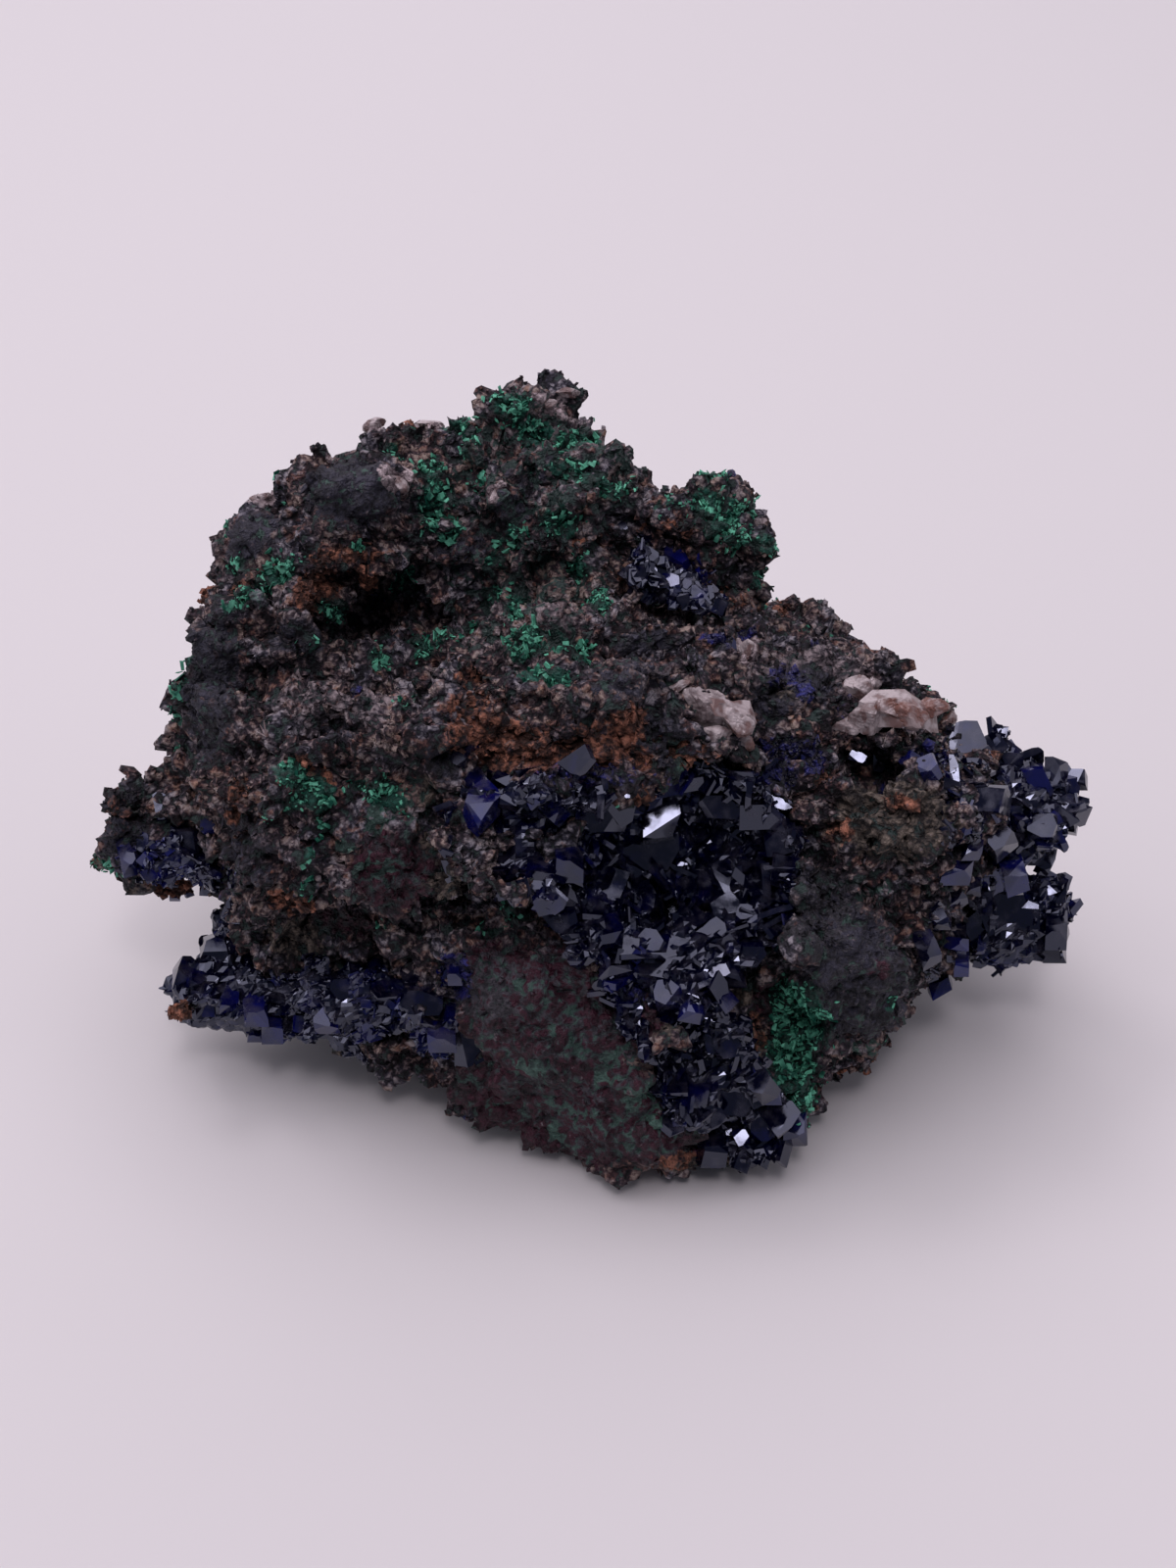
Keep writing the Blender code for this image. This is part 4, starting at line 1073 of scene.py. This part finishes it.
def grow_quartz_chips(rock):
    """The small chips of quartz in the rock, and the white spray."""
    rng = np.random.default_rng(QUARTZ_CHIPS_SEED)
    parts = []
    for place, half, turn in QUARTZ_CHIPS:
        hit, _ = carried_at([rock.tree], place)
        size = pixel_size(hit)
        points, triangles = quartz_lump(rng, (half[0] * size, half[1] * size), max(half) * size * 0.8)
        parts.append((points @ view_frame(turn).T + np.array(hit), triangles))
    root, _ = carried_at([rock.tree], WHITE_SPRAY)
    for turn, length in WHITE_BLADES:
        reach = length * pixel_size(root)
        bm = bmesh.new()
        root_radius, tip_radius = 0.09 * reach, 0.03 * reach
        bmesh.ops.create_cone(
            bm, cap_ends=True, segments=5, radius1=root_radius, radius2=tip_radius, depth=reach
        )
        lying = Matrix.Rotation(math.radians(90), 3, "Y")
        bmesh.ops.rotate(bm, cent=(0, 0, 0), matrix=lying, verts=bm.verts)
        bmesh.ops.translate(bm, vec=(reach / 2, 0, 0.1 * reach), verts=bm.verts)
        points, triangles = shape_arrays(bm)
        parts.append((points @ view_frame(turn).T + np.array(root), triangles))
    points, triangles = join_arrays(parts)
    mesh = mesh_of("quartz_chips", points, triangles, {"tint": np.full(len(points), 0.35)})
    return add_piece("quartz_chips", mesh)


def grow_quartz(name, rock):
    """A broken chunk of quartz: the CAD chunk with angular blocks grown through it."""
    rng = np.random.default_rng(QUARTZ_CHUNKS_SEED)
    node = Skin(welded_node(name))
    parts = [(node.points, node.triangles)]
    stains = [np.full(len(node.points), 0.5)]
    for place, half, turn, stain in QUARTZ_BLOCKS[name]:
        hit, _ = carried_at([rock.tree, node.tree], place)
        size = pixel_size(hit)
        points, triangles = quartz_lump(rng, (half[0] * size, half[1] * size), min(half) * size)
        parts.append((points @ view_frame(turn).T + np.array(hit), triangles))
        stains.append(np.full(len(points), stain))
    points, triangles = join_arrays(parts)
    piece = mesh_of(name + "_chunk", points, triangles, {"tint": np.concatenate(stains)})
    return add_piece(name + "_chunk", piece, [name])


# ---------------------------------------------------------------------------------------------
# Materials
# ---------------------------------------------------------------------------------------------


def feed(tree, node, inputs):
    """Gives each input a value, the socket that feeds it, or the node whose first output does."""
    for key, value in inputs.items():
        if isinstance(value, bpy.types.Node):
            value = value.outputs[0]
        if isinstance(value, bpy.types.NodeSocket):
            tree.links.new(value, node.inputs[key])
        else:
            node.inputs[key].default_value = value


def add_node(tree, kind, settings=None, inputs=None):
    """Adds a shader node with those settings and inputs."""
    node = tree.nodes.new("ShaderNode" + kind)
    for key, value in (settings or {}).items():
        setattr(node, key, value)
    feed(tree, node, inputs or {})
    return node


def new_material(name):
    """An empty material: its tree, its surface shader and its Object coordinates."""
    material = bpy.data.materials.new(name)
    material.use_nodes = True
    tree = material.node_tree
    tree.nodes.clear()
    shader = add_node(tree, "BsdfPrincipled")
    add_node(tree, "OutputMaterial", inputs={"Surface": shader})
    place = add_node(tree, "TexCoord").outputs["Object"]
    return material, tree, shader, place


def put_material(piece, material):
    """Gives a piece that material and no other."""
    piece.data.materials.clear()
    piece.data.materials.append(material)


# The settings of the nodes that mix colours and numbers.
COLOUR_MIX = {"data_type": "RGBA"}
ADD = {"operation": "ADD"}
CLAMPED_ADD = {"operation": "ADD", "use_clamp": True}
SUBTRACT = {"operation": "SUBTRACT"}
MULTIPLY = {"operation": "MULTIPLY"}
MULTIPLY_ADD = {"operation": "MULTIPLY_ADD"}
CLAMPED_MULTIPLY_ADD = {"operation": "MULTIPLY_ADD", "use_clamp": True}
ABSOLUTE = {"operation": "ABSOLUTE"}
SMOOTH_STEP = {"interpolation_type": "SMOOTHSTEP"}

# Each mineral on the rock: its mark, its dark and its light colour, and the roughness of its surface.
MINERALS = (
    # The pale colour is partly the rock's own paler tone and partly a painted highlight on the crown's top.
    ("pale", "#27222a", "#94888a", 0.8),
    ("goethite", "#02030b", "#343442", 0.65),
    ("olive", "#171314", "#7a6f64", 0.8),
    ("hematite", "#070108", "#3c1024", 0.6),
    ("film", "#0c0e17", "#4e4b52", 0.65),
    ("streak", "#1c2e2c", "#517568", 0.6),
    ("rust", "#2c1711", "#a87059", 0.85),
    ("azurite", "#050512", "#2b2d78", 0.4),
    ("malachite", "#041c18", "#1d5a4b", 0.6),
    ("quartz", "#54464a", "#bfb0b2", 0.4),
)

# The colours of limonite from the near-black painted shade of its pores and gaps to its palest crumbs, where
# it is brown, grey and red.
BROWN_LIMONITE = ((0.0, "#040308"), (0.25, "#2c1f28"), (0.5, "#63504d"), (0.9, "#95857c"))
GREY_LIMONITE = ((0.0, "#03040b"), (0.25, "#242330"), (0.5, "#55535d"), (0.9, "#918d93"))
RED_LIMONITE = ((0.0, "#050207"), (0.25, "#30191c"), (0.5, "#623f37"), (0.9, "#8d6b59"))


def add_ramp(tree, value, stops):
    """A colour ramp through stops of (position, hex colour)."""
    node = add_node(tree, "ValToRGB", inputs={"Fac": value})
    elements = node.color_ramp.elements
    elements.remove(elements[1])
    elements[0].color = linear(stops[0][1])
    for position, hex_colour in stops[1:]:
        elements.new(position).color = linear(hex_colour)
    return node.outputs["Color"]


def limonite_material(name, per_grain):
    """Limonite: a brown to grey iron ore that grew in crumbly crusts, dull, dark and stained by minerals.

    A cell pattern parts it into nodules 0.9 mm wide with painted shade in the gaps between them; strewn
    grains have a tint each. Finer grain, 0.45 and 0.2 mm, roughens both.
    """
    material, tree, shader, place = new_material(name)
    coarse = add_node(tree, "TexNoise", inputs={"Vector": place, "Scale": 1 / (3.6 * MM), "Detail": 3.0})
    fine = add_node(tree, "TexNoise", inputs={"Vector": place, "Scale": 1 / (0.45 * MM), "Detail": 2.5})
    grit = add_node(tree, "TexNoise", inputs={"Vector": place, "Scale": 1 / (0.2 * MM), "Detail": 2.0})
    warp = add_node(tree, "TexNoise", inputs={"Vector": place, "Scale": 1 / (0.8 * MM), "Detail": 2.0})
    bend = (1.2 * MM, 1.2 * MM, 1.2 * MM)
    bent = add_node(tree, "VectorMath", MULTIPLY_ADD, {0: warp.outputs["Color"], 1: bend, 2: place})
    nodules = add_node(tree, "TexVoronoi", inputs={"Vector": bent, "Scale": 1 / (0.9 * MM)})
    distance = nodules.outputs["Distance"]
    if per_grain:
        tint = add_node(tree, "Attribute", {"attribute_name": "tint"}).outputs["Fac"]
        share = 0.15
    else:
        tint = add_node(tree, "SeparateColor", inputs={"Color": nodules.outputs["Color"]}).outputs[0]
        share = 0.45
    blend = add_node(tree, "Math", MULTIPLY_ADD, {0: coarse, 1: 2.7, 2: -0.95 - share / 2})
    blend = add_node(tree, "Math", MULTIPLY_ADD, {0: tint, 1: share, 2: blend})
    grain = add_node(tree, "Math", MULTIPLY_ADD, {0: fine, 1: 2.6, 2: -0.95})
    blend = add_node(tree, "Math", CLAMPED_ADD, {0: blend, 1: grain})
    # Painted shade darkens the gaps between nodules, least where the rock is worn smooth.
    painted_gap_shade = {"Value": distance, "From Min": 0.28, "From Max": 0.7, "To Max": 0.95}
    painted_gap_shade = add_node(tree, "MapRange", inputs=painted_gap_shade)
    worn = add_node(tree, "Attribute", {"attribute_name": "smooth"}).outputs["Fac"]
    worn = add_node(tree, "Math", CLAMPED_MULTIPLY_ADD, {0: worn, 1: -0.5, 2: 1.0})
    painted_gap_shade = add_node(tree, "Math", MULTIPLY, {0: painted_gap_shade, 1: worn})
    painted_gap_shade = add_node(tree, "Math", SUBTRACT, {0: 1.0, 1: painted_gap_shade})
    blend = add_node(tree, "Math", MULTIPLY, {0: blend, 1: painted_gap_shade})
    # Each nodule or grain and each finer grain shifts the rim of a patch, which leaves it ragged.
    ragged = add_node(tree, "Math", MULTIPLY_ADD, {0: tint, 1: 0.45, 2: -0.225})
    ragged = add_node(tree, "Math", MULTIPLY_ADD, {0: grain, 1: 0.3, 2: ragged})
    brown = add_ramp(tree, blend, BROWN_LIMONITE)
    grey = add_ramp(tree, blend, GREY_LIMONITE)
    zones = add_node(tree, "TexNoise", inputs={"Vector": place, "Scale": 1 / (3.4 * MM), "Detail": 3.0})
    zones = add_node(tree, "Math", MULTIPLY_ADD, {0: zones, 1: 5.0, 2: -2.2})
    zones = add_node(tree, "Math", CLAMPED_ADD, {0: zones, 1: ragged})
    colour = add_node(tree, "Mix", COLOUR_MIX, {"Factor": zones, "A": brown, "B": grey}).outputs["Result"]
    # Some nodules are redder than the rest.
    redder = add_node(tree, "TexNoise", inputs={"Vector": place, "Scale": 1 / (1.5 * MM), "Detail": 3.0})
    redder = {"Value": redder, "From Min": 0.56, "From Max": 0.63, "To Max": 0.8}
    redder = add_node(tree, "MapRange", inputs=redder)
    red = add_ramp(tree, blend, RED_LIMONITE)
    colour = add_node(tree, "Mix", COLOUR_MIX, {"Factor": redder, "A": colour, "B": red}).outputs["Result"]
    # Films lie in the gaps between the nodules, and most along veins 1.5 mm apart.
    veins = add_node(tree, "TexNoise", inputs={"Vector": place, "Scale": 1 / (1.5 * MM), "Detail": 3.0})
    veins = add_node(tree, "Math", SUBTRACT, {0: veins, 1: 0.5})
    veins = add_node(tree, "Math", ABSOLUTE, {0: veins})
    veins = add_node(tree, "Math", MULTIPLY_ADD, {0: veins, 1: -3.0, 2: -0.4})
    veins = add_node(tree, "Math", MULTIPLY_ADD, {0: distance, 1: 1.4, 2: veins})
    roughness = 0.85
    for mark, mineral_dark, mineral_light, gloss in MINERALS:
        amount = add_node(tree, "Attribute", {"attribute_name": mark}).outputs["Fac"]
        spread = veins if mark in ("film", "streak") else ragged
        edge = add_node(tree, "Math", ADD, {0: spread, 1: amount})
        cover = {"Value": edge, "From Min": 0.38, "From Max": 0.68}
        cover = add_node(tree, "MapRange", SMOOTH_STEP, cover)
        shade = {"Factor": blend, "A": linear(mineral_dark), "B": linear(mineral_light)}
        shade = add_node(tree, "Mix", COLOUR_MIX, shade).outputs["Result"]
        colour = add_node(tree, "Mix", COLOUR_MIX, {"Factor": cover, "A": colour, "B": shade})
        colour = colour.outputs["Result"]
        roughness = add_node(tree, "Mix", inputs={"Factor": cover, "A": roughness, "B": gloss})
        roughness = roughness.outputs["Result"]
    height = add_node(tree, "Math", MULTIPLY_ADD, {0: fine, 1: 2.0, 2: grit})
    round_off = add_node(tree, "Math", MULTIPLY, {0: distance, 1: worn})
    height = add_node(tree, "Math", MULTIPLY_ADD, {0: round_off, 1: -2.6, 2: height})
    bump = add_node(tree, "Bump", inputs={"Height": height, "Strength": 1.0, "Distance": 0.2 * MM})
    feed(tree, shader, {"Base Color": colour, "Roughness": roughness, "Normal": bump})
    feed(tree, shader, {"Specular IOR Level": 0.45})
    return material


def malachite_material(dark, light):
    """Malachite: a bright green copper carbonate in silky fibrous tufts, paler where the fibres fray."""
    material, tree, shader, place = new_material("Fibrous malachite")
    tint = add_node(tree, "Attribute", {"attribute_name": "tint"}).outputs["Fac"]
    fine = add_node(tree, "TexNoise", inputs={"Vector": place, "Scale": 1 / (1.1 * MM), "Detail": 3.0})
    blend = add_node(tree, "Math", MULTIPLY_ADD, {0: fine, 1: 3.0, 2: -1.5})
    blend = add_node(tree, "Math", CLAMPED_ADD, {0: blend, 1: tint})
    colour = add_node(tree, "Mix", COLOUR_MIX, {"Factor": blend, "A": dark, "B": light}).outputs["Result"]
    feed(tree, shader, {"Base Color": colour, "Roughness": 0.55, "Specular IOR Level": 0.25})
    return material


def azurite_material(dark, light):
    """Azurite: glassy deep blue crystals, black where they are thick, bright on their cleavage faces.

    Growth lines 0.35 mm apart run along the faces, and a faint waviness bends what they mirror.
    """
    material, tree, shader, place = new_material("Azurite crystal")
    tint = add_node(tree, "Attribute", {"attribute_name": "tint"}).outputs["Fac"]
    clouds = add_node(tree, "TexNoise", inputs={"Vector": place, "Scale": 1 / (2.2 * MM), "Detail": 3.0})
    blend = add_node(tree, "Math", MULTIPLY_ADD, {0: clouds, 1: 1.6, 2: -1.0})
    blend = add_node(tree, "Math", CLAMPED_ADD, {0: blend, 1: tint})
    colour = add_node(tree, "Mix", COLOUR_MIX, {"Factor": blend, "A": dark, "B": light}).outputs["Result"]
    # Grey dust lies on the crystals in patches, and dulls them.
    dust = add_node(tree, "TexNoise", inputs={"Vector": place, "Scale": 1 / (1.4 * MM), "Detail": 5.0})
    dusty = {"Value": dust, "From Min": 0.48, "From Max": 0.68, "To Max": 0.55}
    dusty = add_node(tree, "MapRange", inputs=dusty)
    dusted = {"Factor": dusty, "A": colour, "B": linear("#37353f")}
    dusted = add_node(tree, "Mix", COLOUR_MIX, dusted).outputs["Result"]
    dull = {"Value": dust, "From Min": 0.4, "From Max": 0.7, "To Min": 0.05, "To Max": 0.28}
    dull = add_node(tree, "MapRange", inputs=dull)
    # A wave texture of scale 1 has 20 lines to the unit of length.
    lines = {"Vector": place, "Scale": 1 / (0.35 * MM) / 20, "Distortion": 3.0, "Detail": 2.0}
    lines = add_node(tree, "TexWave", inputs=lines).outputs["Fac"]
    wavy = add_node(tree, "TexNoise", inputs={"Vector": place, "Scale": 1 / (1.6 * MM), "Detail": 1.0})
    height = add_node(tree, "Math", MULTIPLY_ADD, {0: lines, 1: 0.06, 2: wavy})
    bump = add_node(tree, "Bump", inputs={"Height": height, "Strength": 0.5, "Distance": 0.05 * MM})
    feed(tree, shader, {"Base Color": dusted, "Roughness": dull, "Normal": bump})
    # Azurite's index of refraction is 1.73 to 1.84, well above glass; a little dust takes off some lustre.
    feed(tree, shader, {"IOR": 1.72, "Specular Tint": linear("#dce6ff")})
    return material


def quartz_material(clear, milky, stained):
    """Quartz: broken, milky and a little see-through, stained pink and brown along its cracks."""
    material, tree, shader, place = new_material("Milky quartz")
    clouds = add_node(tree, "TexNoise", inputs={"Vector": place, "Scale": 1 / (1.2 * MM), "Detail": 5.0})
    blend = add_node(tree, "MapRange", inputs={"Value": clouds, "From Min": 0.42, "From Max": 0.6})
    white = add_node(tree, "Mix", COLOUR_MIX, {"Factor": blend, "A": clear, "B": milky}).outputs["Result"]
    tint = add_node(tree, "Attribute", {"attribute_name": "tint"}).outputs["Fac"]
    tint = add_node(tree, "Math", CLAMPED_MULTIPLY_ADD, {0: blend, 1: -0.8, 2: tint})
    colour = add_node(tree, "Mix", COLOUR_MIX, {"Factor": tint, "A": white, "B": stained}).outputs["Result"]
    fine = add_node(tree, "TexNoise", inputs={"Vector": place, "Scale": 1 / (0.5 * MM), "Detail": 3.0})
    bump = add_node(tree, "Bump", inputs={"Height": fine, "Strength": 0.5, "Distance": 0.2 * MM})
    feed(tree, shader, {"Base Color": colour, "Roughness": 0.28, "Normal": bump})
    # The index of refraction of quartz.
    feed(tree, shader, {"IOR": 1.544, "Transmission Weight": 0.35})
    return material


def paper_material(colour):
    """Matte paper: plain, pale and without shine."""
    material, tree, shader, _ = new_material("Matte paper")
    feed(tree, shader, {"Base Color": colour, "Roughness": 0.9, "Specular IOR Level": 0.1})
    return material


# ---------------------------------------------------------------------------------------------
# Light, camera and floor
# ---------------------------------------------------------------------------------------------

# Each light: name, direction from the specimen, distance and size in metres, and how bright its face is.
LIGHTS = (
    ("ceiling", Vector((-0.15, 0.10, 1.0)), 0.95, 1.30, 1.6),
    ("left_wall", Vector((-1.0, -0.15, 0.45)), 0.95, 0.90, 0.55),
    ("right_wall", Vector((1.0, 0.10, 0.45)), 0.95, 0.90, 0.45),
    ("back_wall", Vector((0.0, 1.0, 0.45)), 0.95, 0.90, 0.8),
    ("window", WINDOW_DIRECTION, 0.80, 0.22, 4.5),
    ("lamp", LAMP_DIRECTION, LAMP_DISTANCE, 0.12, 13.0),
)
# Half the width of the floor, in metres.
FLOOR_REACH = 0.75


def face_towards(obj, point):
    """Turns a light or camera to look at a point."""
    obj.rotation_euler = (point - obj.location).to_track_quat("-Z", "Y").to_euler()


def add_light(name, direction, distance, size, radiance, colour):
    """A square panel whose face shines evenly; a panel of 1 W over its area in m2 shines 1 / (pi area)."""
    data = bpy.data.lights.new(name, "AREA")
    data.shape = "SQUARE"
    data.size = size
    data.energy = radiance * math.pi * size * size
    data.color = colour
    obj = bpy.data.objects.new(name, data)
    obj.location = CAMERA_TARGET + direction.normalized() * distance
    face_towards(obj, CAMERA_TARGET)
    obj.visible_camera = False
    bpy.context.scene.collection.objects.link(obj)


def light_world(dim, pale):
    """A dim world that keeps the front dark, with a pale look for what the camera sees beyond the floor."""
    world = bpy.data.worlds.new("studio")
    bpy.context.scene.world = world
    world.use_nodes = True
    tree = world.node_tree
    tree.nodes.clear()
    seen = add_node(tree, "LightPath").outputs["Is Camera Ray"]
    dark = add_node(tree, "Background", inputs={"Color": dim, "Strength": 1.0})
    light = add_node(tree, "Background", inputs={"Color": pale, "Strength": 1.0})
    mixed = add_node(tree, "MixShader", inputs={0: seen, 1: dark, 2: light})
    add_node(tree, "OutputWorld", inputs={"Surface": mixed})


def add_camera():
    """The camera, whose frame the places on the display side are measured in."""
    data = bpy.data.cameras.new("camera")
    data.lens = LENS
    data.sensor_width = SENSOR
    data.clip_start = 0.01
    obj = bpy.data.objects.new("camera", data)
    obj.location = CAMERA_PLACE
    face_towards(obj, CAMERA_TARGET)
    bpy.context.scene.collection.objects.link(obj)
    bpy.context.scene.camera = obj


def add_floor():
    """The sheet of paper that the specimen lies on."""
    bm = bmesh.new()
    bmesh.ops.create_grid(bm, x_segments=1, y_segments=1, size=FLOOR_REACH)
    mesh = bpy.data.meshes.new("floor")
    bm.to_mesh(mesh)
    bm.free()
    obj = bpy.data.objects.new("floor", mesh)
    bpy.context.scene.collection.objects.link(obj)
    return obj


# ---------------------------------------------------------------------------------------------
# Settings, operators and panel
# ---------------------------------------------------------------------------------------------


def colour_property(name, description, hex_colour):
    """A colour setting with its usual value."""
    return bpy.props.FloatVectorProperty(
        name=name, description=description, subtype="COLOR", size=4, min=0, max=1, default=linear(hex_colour)
    )


def count_property(name, description, count):
    """A setting for how many there are, with its usual value."""
    return bpy.props.IntProperty(name=name, description=description, default=count)


class SpecimenRock(bpy.types.PropertyGroup):
    """Sizes and colours of the rock and of what lies on it."""

    detail: bpy.props.FloatProperty(
        name="Detail", description="Edge of the rock's finest faces", default=0.474 * MM, unit="LENGTH"
    )
    knobs: count_property("Knobs", "Round knobs that stud the rock", 2200)
    crumbs: count_property("Crumbs", "Crumbs strewn on the rock", 8000)
    grit: count_property("Grit", "Fine grains strewn on the rock", 11000)
    rust: count_property("Rust grains", "Grains of rust on the rock", 3000)
    flakes: count_property("Malachite", "Plates in the malachite tufts", 13000)
    malachite_dark: colour_property("Dark malachite", "Malachite deep in a tuft", "#044a3a")
    malachite_light: colour_property("Light malachite", "Malachite where its fibres fray", "#6abf9e")


class SpecimenCrystals(bpy.types.PropertyGroup):
    """Sizes and colours of the crystals."""

    crystal_size: bpy.props.FloatProperty(
        name="Crystal size", description="Size of the small crystals, times the usual one", default=1.0
    )
    on_rock: count_property("On the rock", "Crystals on the bare rock", 1500)
    dark: colour_property("Dark azurite", "Azurite where it is thick", "#020217")
    light: colour_property("Light azurite", "Azurite where it is thin", "#11155e")
    clear: colour_property("Clear quartz", "Quartz where it is clear", "#7d6f70")
    milky: colour_property("Milky quartz", "Quartz where it is milky", "#d2c6c6")
    stained: colour_property("Stained quartz", "Quartz stained by the rock", "#8c6156")


class SpecimenStage(bpy.types.PropertyGroup):
    """Colours of the floor and the light."""

    floor: colour_property("Floor", "The paper under the specimen", "#dbdad9")
    light: colour_property("Light", "The studio light", "#fff3fd")
    dim: colour_property("Dim world", "The light from where no panel stands", "#585966")
    horizon: colour_property("Horizon", "What shows beyond the paper", "#d5cbd4")


class SPECIMEN_OT_rock(bpy.types.Operator):
    """Grows the rock on its plain solid"""

    bl_idname = "specimen.rock"
    bl_label = "Rock"

    def execute(self, context):
        settings = context.scene.specimen_rock
        rock = grow_rock(settings.detail, settings.knobs)
        put_material(rock, limonite_material("Limonite rock", False))
        return {"FINISHED"}


class SPECIMEN_OT_crumbs(bpy.types.Operator):
    """Strews crumbs, grit and rust on the rock"""

    bl_idname = "specimen.crumbs"
    bl_label = "Crumbs"

    def execute(self, context):
        settings = context.scene.specimen_rock
        skin = Skin(bpy.data.objects["limonite_rock"].data)
        material = limonite_material("Limonite crumbs", True)
        put_material(strew_crumbs(skin, settings.crumbs), material)
        put_material(strew_grit(skin, settings.grit), material)
        put_material(strew_rust(skin, settings.rust), material)
        return {"FINISHED"}


class SPECIMEN_OT_malachite(bpy.types.Operator):
    """Grows the malachite tufts on the rock"""

    bl_idname = "specimen.malachite"
    bl_label = "Malachite"

    def execute(self, context):
        settings = context.scene.specimen_rock
        skin = Skin(bpy.data.objects["limonite_rock"].data)
        material = malachite_material(settings.malachite_dark, settings.malachite_light)
        put_material(strew_malachite(skin, settings.flakes), material)
        return {"FINISHED"}


class SPECIMEN_OT_azurite(bpy.types.Operator):
    """Grows the azurite crystals on their crusts"""

    bl_idname = "specimen.azurite"
    bl_label = "Azurite"

    def execute(self, context):
        settings = context.scene.specimen_crystals
        skin = Skin(bpy.data.objects["limonite_rock"].data)
        material = azurite_material(settings.dark, settings.light)
        crusts = {name: crust_skin(name) for name in AZURITE_PIECES}
        best = best_crystals(crusts, skin)
        for name, crust in crusts.items():
            put_material(grow_azurite(name, crust, best[name], skin, settings), material)
        put_material(crust_rock(skin, settings.on_rock, settings), material)
        return {"FINISHED"}


class SPECIMEN_OT_quartz(bpy.types.Operator):
    """Breaks the quartz chunks and sets the small chips in the rock"""

    bl_idname = "specimen.quartz"
    bl_label = "Quartz"

    def execute(self, context):
        settings = context.scene.specimen_crystals
        skin = Skin(bpy.data.objects["limonite_rock"].data)
        material = quartz_material(settings.clear, settings.milky, settings.stained)
        for name in QUARTZ_BLOCKS:
            put_material(grow_quartz(name, skin), material)
        put_material(grow_quartz_chips(skin), material)
        return {"FINISHED"}


class SPECIMEN_OT_stage(bpy.types.Operator):
    """Sets up the camera, the floor and the studio light"""

    bl_idname = "specimen.stage"
    bl_label = "Stage"

    def execute(self, context):
        settings = context.scene.specimen_stage
        add_camera()
        put_material(add_floor(), paper_material(settings.floor))
        for light in LIGHTS:
            add_light(*light, settings.light[:3])
        light_world(settings.dim, settings.horizon)
        context.scene.view_settings.view_transform = "Standard"
        return {"FINISHED"}


STEPS = (
    SPECIMEN_OT_stage,
    SPECIMEN_OT_rock,
    SPECIMEN_OT_crumbs,
    SPECIMEN_OT_malachite,
    SPECIMEN_OT_azurite,
    SPECIMEN_OT_quartz,
)


class SPECIMEN_PT_steps(bpy.types.Panel):
    """Lists the steps that make the specimen, and their settings"""

    bl_label = "Azurite Specimen"
    bl_space_type = "VIEW_3D"
    bl_region_type = "UI"
    bl_category = "Specimen"

    def draw(self, context):
        for step in STEPS:
            self.layout.operator(step.bl_idname)
        scene = context.scene
        for group in (scene.specimen_rock, scene.specimen_crystals, scene.specimen_stage):
            box = self.layout.box()
            for name in group.__annotations__:
                box.prop(group, name)


GROUPS = {
    "specimen_rock": SpecimenRock,
    "specimen_crystals": SpecimenCrystals,
    "specimen_stage": SpecimenStage,
}


def register():
    for kind in (*GROUPS.values(), *STEPS, SPECIMEN_PT_steps):
        bpy.utils.register_class(kind)
    for name, kind in GROUPS.items():
        setattr(bpy.types.Scene, name, bpy.props.PointerProperty(type=kind))


def unregister():
    for name in GROUPS:
        delattr(bpy.types.Scene, name)
    for kind in (SPECIMEN_PT_steps, *reversed(STEPS), *GROUPS.values()):
        bpy.utils.unregister_class(kind)


def main():
    register()
    bpy.ops.specimen.stage()
    bpy.ops.specimen.rock()
    bpy.ops.specimen.crumbs()
    bpy.ops.specimen.malachite()
    bpy.ops.specimen.azurite()
    bpy.ops.specimen.quartz()


if __name__ == "__main__":
    main()
